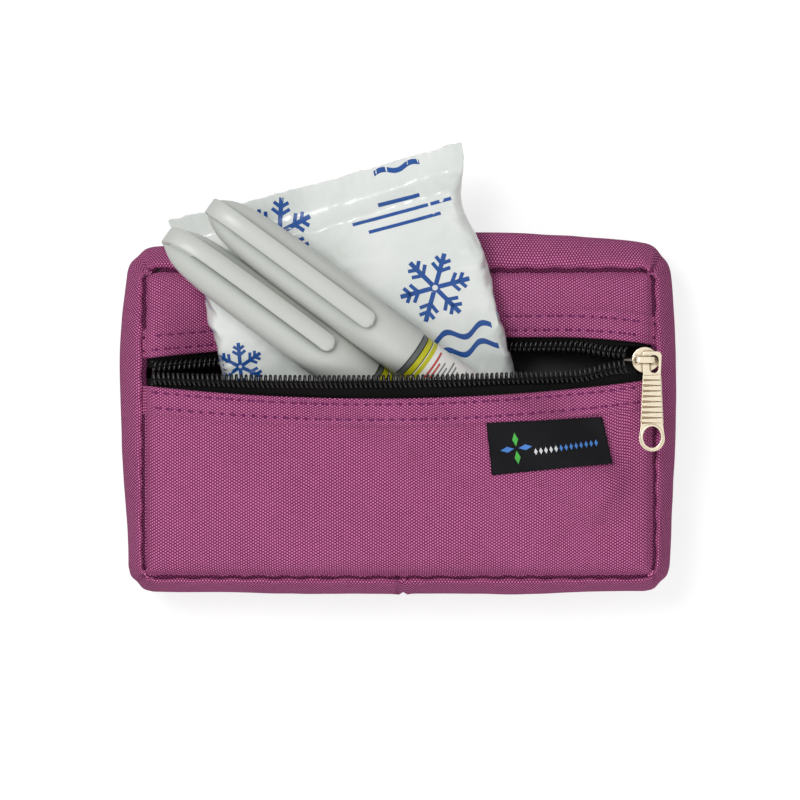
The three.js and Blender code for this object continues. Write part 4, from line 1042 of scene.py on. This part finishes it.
def settle_pouch():
    verts, faces, index = pouch_flat()
    blown = inflate(verts, faces)
    middle = sum(blown, Vector()) / len(blown)
    reach = [max(0.1, max(abs(blown[index[side, r, c]].x - middle.x) for side in (1, -1)
                          for c in (0, COLUMNS))) for r in range(ROWS + 1)]
    span_y = max(v.y for v in blown) - min(v.y for v in blown)
    place_of = {i: key for key, i in index.items()}
    result = []
    for i, (v, flat) in enumerate(zip(blown, verts)):
        _, r, c = place_of[i]
        half = mix(PACK["bottom"], PACK["top"], r / ROWS) / 2 - neck(r / ROWS, flat.x > 0)
        pinned = 1 - ease(min(r, ROWS - r), SEAL_ROWS, SEAL_ROWS + 9)
        x = (v.x - middle.x) * half / reach[r]
        x = mix(x, flat.x * half / (abs(verts[index[1, r, 0]].x)), 0.3 + 0.7 * pinned)
        y = mix((v.y - middle.y) * PACK["length"] / span_y, flat.y, 0.5 + 0.5 * pinned)
        y -= 1.1 * ease(r / ROWS, 0.75, 1.0) * (1 - (2 * c / COLUMNS - 1) ** 2)
        limit = PACK["crown"] - 0.3
        z = limit * math.tanh((v.z - middle.z) / limit * 1.35)
        z = mix(z, 0.25 * rough(x, y, 0, 14.0, 9.0), pinned ** 0.5)
        room = min(1.0, abs(flat.z) * 4) * (1 - pinned)
        z += creases(x, y, half, math.copysign(1, flat.z)) * room
        result.append(Vector((x, y, clamp(z, -limit - 0.2, limit + 0.2))))
    return crimped_ends(result, index), faces, index


def neck(v, right):
    """How far the filled pouch draws its sides in between the two seals"""
    drawn = (1.2 if right else 3.1) * (1 - abs(2 * v - 1) ** 2.4)
    return drawn + (3.6 * bump(v, 0.8, 0.09) if right else 0.0)


def creases(x, y, half, side):
    """Sharp small folds in the film: across its sides, along its seals, and a few long ones between"""
    fold = lambda *place: max(0.0, 1 - abs(rough(*place)) * 6) ** 2
    from_end = PACK["length"] / 2 - PACK["seal"] - abs(y)
    sides = 1.25 * fade(half - abs(x), 8.0) * (fold(x * 0.25, y, side, 5.5, 1.0) - 0.3)
    ends = 1.1 * fade(from_end, 9.0) * (fold(x, y * 0.22, side, 6.0, 2.0) - 0.3)
    long_folds = 0.5 * fold(x + 0.4 * y, y - 0.3 * x, side, 22.0, 4.0)
    small = 0.3 * fold(x - 0.6 * y, y, side, 9.0, 6.0)
    return side * (sides + ends + long_folds + small)


def crimped_ends(verts, index):
    """Crimps across both end seals, and their jagged cut ends"""
    for end in (1, -1):
        for k in range(SEAL_ROWS + 1):
            for c in range(COLUMNS + 1):
                v = verts[index[1, ROWS - k if end > 0 else k, c]]
                v.z += 0.28 * math.sin(c * 2.1 + 2 * rough(c, end, 0, 9.0)) * (1 - k / (SEAL_ROWS + 1))
                if k == 0:
                    v.y += end * (0.35 * (c % 2) + 0.6 * rough(c, end, 1, 2.7) - 0.2)
    return verts


pouch_verts, pouch_faces, pouch_index = settle_pouch()
on_pack = placed((pouch_verts, pouch_faces), PACK_FRAME)
pouch = new_piece("cold_pack_film", on_pack, "cold_pack", FILM)
thickness = pouch.modifiers.new("film", "SOLIDIFY")
thickness.thickness = 0.12 * MM
thickness.offset = -1
smoother = pouch.modifiers.new("smooth", "SUBSURF")
smoother.levels = smoother.render_levels = 1
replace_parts(pouch, "pack_film_front", "pack_film_back")


def gel_body():
    """The filling: the pouch's own form, a little smaller"""
    first, last = SEAL_ROWS + 2, ROWS - SEAL_ROWS - 2
    verts, faces, index = [], [], {}
    for side in (1, -1):
        for r in range(first, last + 1, 2):
            for c in range(2, COLUMNS - 1, 2):
                v = pouch_verts[pouch_index[side, r, c]]
                index[side, r, c] = len(verts)
                verts.append(PACK_FRAME @ Vector((v.x, v.y, v.z - side * min(0.4, abs(v.z) * 0.5))))
    rows, columns = range(first, last - 1, 2), range(2, COLUMNS - 3, 2)
    for cell in quads(rows, columns, 2):
        for side in (1, -1):
            faces.append(tuple(index[side, r, c] for r, c in cell[::side]))
    top, right = max(rows) + 2, max(columns) + 2
    rim = [pair for c in columns for pair in (((first, c), (first, c + 2)), ((top, c + 2), (top, c)))]
    rim += [pair for r in rows for pair in (((r + 2, 2), (r, 2)), ((r, right), (r + 2, right)))]
    for a, b in rim:
        faces.append((index[1, *a], index[-1, *a], index[-1, *b], index[1, *b]))
    return verts, faces


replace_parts(new_piece("cold_pack_gel", gel_body(), "cold_pack", GEL), "pack_gel")


# Printed shapes laid on a curved surface

def cut_small(shape, step):
    """A flat shape cut into triangles with edges near a step long"""
    bm = bmesh.new()
    bm.faces.new([bm.verts.new((x, y, 0)) for x, y in shape])
    bmesh.ops.triangulate(bm, faces=bm.faces)
    for _ in range(4):
        long_edges = [e for e in bm.edges if e.calc_length() > step]
        if not long_edges:
            break
        bmesh.ops.subdivide_edges(bm, edges=long_edges, cuts=1, use_grid_fill=False)
        bmesh.ops.triangulate(bm, faces=bm.faces)
    bm.verts.index_update()
    part = [(v.co.x, v.co.y) for v in bm.verts], [tuple(v.index for v in f.verts) for f in bm.faces]
    bm.free()
    return part


def laid_print(name, shapes, surface, matrix, body, ink, proud=0.07, step=1.2):
    """Flat shapes, cut small and dropped along the surface's own Z, a hair above it"""
    verts, kept, faces = [], {}, []
    base = 0
    for points, cut_faces in (cut_small(shape, step) for shape in shapes):
        for i, (x, y) in enumerate(points, base):
            hit = surface.ray_cast(Vector((x, y, 60)), Vector((0, 0, -1)))[0]
            if hit is not None:
                kept[i] = len(verts)
                verts.append(matrix @ (hit + Vector((0, 0, proud))))
        faces += [tuple(kept[base + i] for i in face) for face in cut_faces if all(base + i in kept for i in face)]
        base += len(points)
    up = matrix.to_3x3() @ Vector((0, 0, 1))

    def faces_up(face):
        a, b, c = (verts[i] for i in face[:3])
        return (b - a).cross(c - a).dot(up) > 0
    faces = [face if faces_up(face) else tuple(reversed(face)) for face in faces]
    new_piece(name, (verts, faces), body, ink)


def bar_shape(x0, y0, x1, y1, width):
    along = Vector((x1 - x0, y1 - y0)).normalized() * (width / 2)
    side = Vector((-along.y, along.x))
    a, b = Vector((x0, y0)) - along * 0.6, Vector((x1, y1)) + along * 0.6
    return [tuple(p) for p in (a - side, b - side, b + side, a + side)]


def snowflake(x, y, radius, width, turn=0.0):
    """Six arms with two pairs of twigs each"""
    shapes = []
    for arm in range(6):
        angle = math.radians(60 * arm + turn)
        at = lambda r: (x + r * math.cos(angle), y + r * math.sin(angle))
        shapes.append(bar_shape(*at(radius * 0.12), *at(radius), width))
        for root_share, twig in ((0.5, 0.3), (0.74, 0.24)):
            root = at(radius * root_share)
            for side in (-1, 1):
                lean = angle + side * math.radians(55)
                tip = (root[0] + radius * twig * math.cos(lean), root[1] + radius * twig * math.sin(lean))
                shapes.append(bar_shape(*root, *tip, width * 0.8))
    return shapes


def wave_bar(x, y, length, width, height, lengths, steps=36):
    line = [(x + length * i / steps, y + height * math.sin(2 * math.pi * lengths * i / steps))
            for i in range(steps + 1)]
    return [[(x0, y0 - width / 2), (x1, y1 - width / 2), (x1, y1 + width / 2), (x0, y0 + width / 2)]
            for (x0, y0), (x1, y1) in zip(line, line[1:])]


pouch_tree = BVHTree.FromPolygons(pouch_verts, pouch_faces)
prints = {
    "upper_flake": snowflake(-15.0, 43.0, 10.5, 1.45, 12),
    "side_flake": snowflake(28.5, 13.0, 11.0, 1.5, 0),
    "low_flake": snowflake(-38.5, 4.5, 7.5, 1.2, 20),
    "side_waves": wave_bar(13.5, -3.6, 29.5, 1.9, 1.5, 2.5) + wave_bar(24.0, -9.2, 19.5, 1.9, 1.5, 1.7),
    "top_waves": wave_bar(19.0, 53.0, 15.0, 1.7, 0.7, 1.5),
    "fine_bars": [bar_shape(8.5 + inset, y, 40.5 - inset, y, 1.1)
                  for y, inset in ((43.3, 9.5), (39.6, 0.0), (35.9, 4.4))],
}
for name, shapes in prints.items():
    laid_print(f"print_{name}", shapes, pouch_tree, PACK_FRAME, "cold_pack", BLUE_INK)


# Label: a plain satin patch with a slanted end, stitched down at its left and a little proud at its right

def label_point(u, v):
    x = mix(27.8 + 1.9 * (1 - v), 65.0 + 3.3 * (1 - v), u)
    y = mix(-15.5, -0.8, v) - mix(4.0, 2.2, v) * (1 - u)
    lift = 0.7 + 1.5 * u ** 3 * (1 - 0.5 * v) + 0.35 * rough(x, y, 0, 12.0, 8.0) + 0.6 * ease(u, 0.9, 1.0) * (1 - v)
    return Vector((x, y, lower_top(x, y) + lift))


LABEL_COLUMNS, LABEL_ROWS = 44, 20
label_grid = [[label_point(u, v) for u in shares(LABEL_COLUMNS)] for v in shares(LABEL_ROWS)]
label = wall_layer("plain_label", label_grid, 0.0, 0.45, "case", LABEL_CLOTH)
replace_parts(label, "woven_label")


# A small pattern of lozenges woven into it, along the line where it bears its design

def lozenge(x, y, half_long, half_wide, turn):
    c, s = math.cos(math.radians(turn)), math.sin(math.radians(turn))
    return [(x + a * c - b * s, y + a * s + b * c) for a, b in
            ((-half_long, 0), (0, -half_wide), (half_long, 0), (0, half_wide))]


def petal(turn):
    angle = math.radians(turn)
    return lozenge(37.4 + 2.9 * math.cos(angle), -10.9 + 2.9 * math.sin(angle), 2.2, 0.95, turn)


label_tree = BVHTree.FromPolygons(
    [p for row in label_grid for p in row],
    [tuple(r * (LABEL_COLUMNS + 1) + c for r, c in cell) for cell in quads(range(LABEL_ROWS), range(LABEL_COLUMNS))])
trail = [lozenge(43.6 + 1.62 * k, -11.9 + 0.23 * k, 1.1, 0.56, 98) for k in range(13)]
for name, shapes, yarn in (("petals_blue", [petal(8), petal(188)], BLUE_YARN),
                           ("petals_green", [petal(98), petal(278)], GREEN_YARN),
                           ("trail_white", trail[:5], WHITE_YARN), ("trail_blue", trail[5:], BLUE_YARN)):
    laid_print(f"label_{name}", shapes, label_tree, Matrix.Identity(4), "case", yarn, 0.05, 0.6)


# Pens: capped, with the needle end, cartridge and push rod inside; heights run from the barrel's mouth to the tip

PEN_GAP = 0.3
RING_LOW = -PEN_GAP - 1.7
BAND_HIGH = RING_LOW - PEN_GAP
BAND_LOW = BAND_HIGH - 1.7
SLEEVE_HIGH = BAND_LOW - PEN_GAP
SLEEVE_LOW = SLEEVE_HIGH - 52
KNOB_HIGH = SLEEVE_LOW - PEN_GAP
KNOB_LOW = KNOB_HIGH - 13
HOLDER_LOW = 9 + PEN_GAP
HOLDER_HIGH = HOLDER_LOW + 45
GLASS_LOW = HOLDER_LOW + PEN_GAP
GLASS_HIGH = GLASS_LOW + 37
CORE, BORE, GLASS_RADIUS, GLASS_BORE = 7.05, 5.9, 4.8, 3.9
CAP_WALL, TAPER = 1.1, 37.0
CAP_SHAPE = [(0.0, 0.0), (0.13, 0.006), (0.265, 0.02), (0.40, 0.052), (0.52, 0.093), (0.63, 0.135), (0.72, 0.182),
             (0.8, 0.24), (0.855, 0.3), (0.9, 0.385), (0.935, 0.485), (0.962, 0.62), (0.984, 0.79), (1.0, 1.0)]
CLIP_WIDTH, CLIP_LENGTH, CLIP_RISE = 5.8, 63.7, 2.4


def cap_radius(from_tip):
    share = from_tip / TAPER
    for (r0, d0), (r1, d1) in zip(CAP_SHAPE, CAP_SHAPE[1:]):
        if share <= d1:
            return CAP_RADIUS * mix(r0, r1, (share - d0) / (d1 - d0))
    return CAP_RADIUS


def cap_tube():
    outer = [(r * CAP_RADIUS, CAP_LENGTH - d * TAPER) for r, d in CAP_SHAPE]
    bore = [(r * CAP_RADIUS - CAP_WALL, CAP_LENGTH - d * TAPER - CAP_WALL) for r, d in CAP_SHAPE[6:]]
    rim = [(CAP_RADIUS - inset, height) for inset, height in ((0, 0.25), (0.2, 0.0), (0.95, 0.0), (CAP_WALL, 0.15))]
    return lathe(outer + rim + bore[::-1] + [(0.0, bore[0][1])], 72)


def clip_bar():
    """The clip: a flat bar from the very tip of the cap, rooted there, free beyond, and rounded at its end"""
    verts, edge, crown, steps = [], 0.2, 0.12, 90
    for step in shares(steps):
        d = mix(0.15, CLIP_LENGTH, step)
        left = CLIP_LENGTH - d
        half_wide = CLIP_WIDTH / 2
        if left < half_wide:
            half_wide *= math.sqrt(max(0.0, 1 - (1 - left / half_wide) ** 2)) * 0.98 + 0.02
        if d < 1.6:
            half_wide *= 0.86 + 0.14 * math.sin(math.pi / 2 * clamp(d / 1.6))
        base = cap_radius(max(d, 0.4))
        top = base + CLIP_RISE - 1.5 * (1 - clamp((d - 0.15) / 2.4)) ** 2
        low = mix(-0.4 * base, base + 1.1, ease(d, 7.5, 10.5))
        if left < 6:
            low = mix(base + 0.35, base + 1.1, ease(left, 1.5, 6.0))
        top -= 0.5 * (1 - clamp(left / 2.0)) ** 2
        flat = half_wide - edge
        section = [(-half_wide, low + edge), (-flat, low), (flat, low), (half_wide, low + edge),
                   (half_wide, top - edge), (flat, top), (0, top + crown), (-flat, top), (-half_wide, top - edge)]
        verts += [Vector((x, CAP_LENGTH - d, z)) for x, z in section]
    last = steps * 9
    return verts, ring_faces(steps + 1, 9) + [tuple(range(8, -1, -1)), tuple(range(last, last + 9))]


def ring_body(inner, outer, low, high, sides=72, edge=0.12):
    return lathe([(inner, low), (outer - edge, low), (outer, low + edge), (outer, high - edge), (outer - edge, high),
                  (inner, high), (inner, low)], sides)


def barrel_tube():
    edge, throat, shoulder = 0.15, 6.85, 9
    return lathe([(BORE, SLEEVE_LOW), (CORE, SLEEVE_LOW), (CORE, RING_LOW),
                  (BARREL_RADIUS - edge, RING_LOW), (BARREL_RADIUS, RING_LOW + edge),
                  (BARREL_RADIUS, -PEN_GAP - edge), (BARREL_RADIUS - edge, -PEN_GAP),
                  (throat, -PEN_GAP), (throat, 8.8), (6.65, shoulder), (4.8, shoulder), (4.8, 4.5), (BORE, 3),
                  (BORE, SLEEVE_LOW)], 72)


def holder_tube():
    """The clear holder, with the needle's thread as ridges round its neck"""
    wall, neck_wall, crest, root = 5.15, 3.6, 4.6, 4.35
    body = [(wall, HOLDER_LOW), (6.2, HOLDER_LOW), (6.2, HOLDER_HIGH - 2.4), (5.9, HOLDER_HIGH - 1.6)]
    thread = [(crest, 0), (crest, 1), (root, 1.3), (crest, 1.8), (root, 2.4), (crest, 3), (crest, 6.7), (4.3, 7),
              (neck_wall, 7), (neck_wall, -1), (wall, -2)]
    return lathe(body + [(r, HOLDER_HIGH + h) for r, h in thread] + [(wall, HOLDER_LOW)], 60)


def dial_ring():
    """The dose dial: fine flutes with rounded ends round a plain bore"""
    sides, verts = 120, []
    profile = [(6.45, KNOB_LOW, 0), (6.75, KNOB_LOW, 0), (7.2, KNOB_LOW + 0.5, 1), (7.2, KNOB_HIGH - 1.6, 1),
               (7.0, KNOB_HIGH - 1.0, 0), (7.0, KNOB_HIGH, 0), (6.45, KNOB_HIGH, 0)]
    for radius, height, fluted in profile:
        for k in range(sides):
            angle = 2 * math.pi * k / sides
            r = radius - fluted * 0.32 * (0.5 - 0.5 * math.cos(20 * angle))
            verts.append(Vector((r * math.cos(angle), height, r * math.sin(angle))))
    return verts, ring_faces(len(profile), sides, closed=True)


def button_body():
    low, high = KNOB_LOW - 5, KNOB_LOW + 7.2
    foot = [(0, 0.25), (3.2, 0.2), (4.6, 0), (5.3, 0.15), (5.9, 0.7), (6.1, 1.4)]
    return lathe([(r, low + h) for r, h in foot] + [(6.1, high - 0.2), (5.9, high), (0, high)], 72)


def stopper_body(radius, low, high):
    return lathe([(0, low), (radius - 0.1, low), (radius, low + 0.1), (radius, high - 0.1), (radius - 0.1, high),
                  (0, high)], 40)


def screw_body(radius, low, high):
    """The push rod, with its thread as a run of shallow ridges"""
    profile, root = [(0, low)], radius - 0.35
    count = int((high - low) / 1.6)
    for i in range(count):
        y = low + (high - low) * i / count
        profile += [(root, y), (radius, y + 0.5), (radius, y + 0.8), (root, y + 1.3)]
    return lathe(profile + [(root, high), (0, high)], 32)


def pen_piece(side, name, part, material, body, angle=40):
    part = outward(placed(part, pen_matrix(side)))
    piece = new_piece(f"{side}_{name}", part, body, material)
    piece.modifiers.new("crease", "EDGE_SPLIT").split_angle = math.radians(angle)
    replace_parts(piece, f"{side}_pen_{name}")


def wrapped(side, name, material, patches):
    """Thin printed patches round the sleeve: each has a low, a high and two angles from the clip's side"""
    verts, faces = [], []
    matrix = pen_matrix(side)
    radius = BARREL_RADIUS + 0.03
    for low, high, start, end in patches:
        steps = max(2, int(abs(end - start) / 4))
        base = len(verts)
        for share in shares(steps):
            angle = math.radians(mix(start, end, share))
            verts += [matrix @ Vector((radius * math.sin(angle), y, radius * math.cos(angle))) for y in (low, high)]
        faces += [(a, a + 1, a + 3, a + 2) for a in range(base, base + 2 * steps, 2)]
    new_piece(f"{side}_label_{name}", (verts, faces), f"{side}_pen", material)


for side in ("left", "right"):
    pen = f"{side}_pen"
    pen_piece(side, "cap", merged([cap_tube(), clip_bar()]), CAP_PLASTIC, f"{pen}_cap", 50)
    drum = BORE - 0.35
    for name, part, finish, body in (
            ("barrel", barrel_tube(), DARK_PLASTIC, pen),
            ("band", ring_body(CORE + 0.3, BARREL_RADIUS, BAND_LOW, BAND_HIGH), OLIVE_PLASTIC, pen),
            ("label", ring_body(CORE + 0.3, BARREL_RADIUS, SLEEVE_LOW, SLEEVE_HIGH), PEN_FILM, pen),
            ("holder", holder_tube(), CLEAR, pen),
            ("cartridge", ring_body(GLASS_BORE, GLASS_RADIUS, GLASS_LOW, GLASS_HIGH, 60), GLASS, pen),
            ("stopper", stopper_body(GLASS_BORE - 0.3, GLASS_LOW + 0.3, GLASS_LOW + 7.3), RUBBER, pen),
            ("rod", screw_body(2.0, GLASS_LOW - 58, GLASS_LOW), DARK_PLASTIC, pen),
            ("drum", ring_body(drum - 0.9, drum, KNOB_HIGH, RING_LOW, 60), PEN_FILM, f"{pen}_dial"),
            ("dial", dial_ring(), DARK_PLASTIC, f"{pen}_dial"),
            ("button", button_body(), OLIVE_PLASTIC, f"{pen}_button")):
        pen_piece(side, name, part, finish, body)
    top = SLEEVE_HIGH
    wrapped(side, "stripe", OLIVE_PLASTIC, [(top - 1.6, top - 0.2, -178, 178)])
    wrapped(side, "bars_grey", GREY_INK, [
        (top - 4.0 - k * 1.25, top - 3.5 - k * 1.25, -62 + 8 * (k % 3), 48 - 9 * (k % 4)) for k in range(2, 9)])
    wrapped(side, "bars_red", RED_INK, [(top - 3.9, top - 3.2, -60, 50), (top - 5.2, top - 4.6, -60, 20)])


# Floor, light and camera

WHITE = (1, 1, 1, 1)
FLOOR_TONES, FLOOR_GLOW, WORLD_LIGHT = (0.34, 0.37), 0.74, 0.39


def floor_material():
    """A pale floor that the camera sees as white where the object casts no shadow"""
    mat, nodes, shader = material("pale_floor", (FLOOR_TONES[0],) * 3, 0.9)
    grain = nodes.noise(nodes.place(), 30.0, 2.0)
    nodes.fill(shader, {"Base Color": nodes.ramp(grain, *((i, (tone,) * 3) for i, tone in enumerate(FLOOR_TONES)))})
    strength = nodes.times(nodes.background_rays(), FLOOR_GLOW)
    glow = nodes.add("ShaderNodeEmission", {"Color": WHITE, "Strength": strength})[0]
    both = nodes.add("ShaderNodeAddShader", {0: shader.outputs[0], 1: glow})[0]
    nodes.fill(mat.node_tree.nodes["Material Output"], {"Surface": both})
    return mat


floor_mesh = bpy.data.meshes.new("floor")
floor_mesh.from_pydata([(x, y, -0.0004) for x, y in ((-3, -3), (3, -3), (3, 3), (-3, 3))], [], [(0, 1, 2, 3)])
floor = bpy.data.objects.new("floor", floor_mesh)
scene = bpy.context.scene
scene.collection.objects.link(floor)
floor.data.materials.append(floor_material())
scene.view_settings.view_transform = "Standard"

world = bpy.data.worlds.new("studio")
world.use_nodes = True
scene.world = world
sky = Nodes(world.node_tree)
glow = sky.plus(sky.times(sky.background_rays(), 1 - WORLD_LIGHT), WORLD_LIGHT)
sky.fill(world.node_tree.nodes["Background"], {"Color": WHITE, "Strength": glow})


def lamp(name, place, target, size, power):
    data = bpy.data.lights.new(name, "AREA")
    data.shape = "SQUARE"
    data.size = size
    data.energy = power
    light = bpy.data.objects.new(name, data)
    light.location = place
    light.rotation_euler = (Vector(target) - Vector(place)).to_track_quat("-Z", "Y").to_euler()
    scene.collection.objects.link(light)


CENTRE = (0.0, 0.005, 0.03)
lamp("key_lamp", (-0.44, 0.36, 1.3), CENTRE, 0.5, 10.4)
lamp("fill_lamp", (0.45, -0.95, 0.85), CENTRE, 1.0, 4.6)

# The photograph is taken from straight above with a long lens: 3.12 picture points to a millimetre at the seams
DISTANCE, POINTS_PER_MM, SEAM_PLANE, SENSOR = 2000.0, 3.12, 40.0, 36.0
camera_data = bpy.data.cameras.new("camera")
camera = bpy.data.objects.new("camera", camera_data)
camera.location = Vector((0.32, 4.55, SEAM_PLANE + DISTANCE)) * MM
camera_data.sensor_width = SENSOR
camera_data.lens = SENSOR * DISTANCE / (800 / POINTS_PER_MM)
camera_data.clip_start, camera_data.clip_end = 0.01, 20.0
scene.collection.objects.link(camera)
scene.camera = camera

bpy.context.view_layer.update()
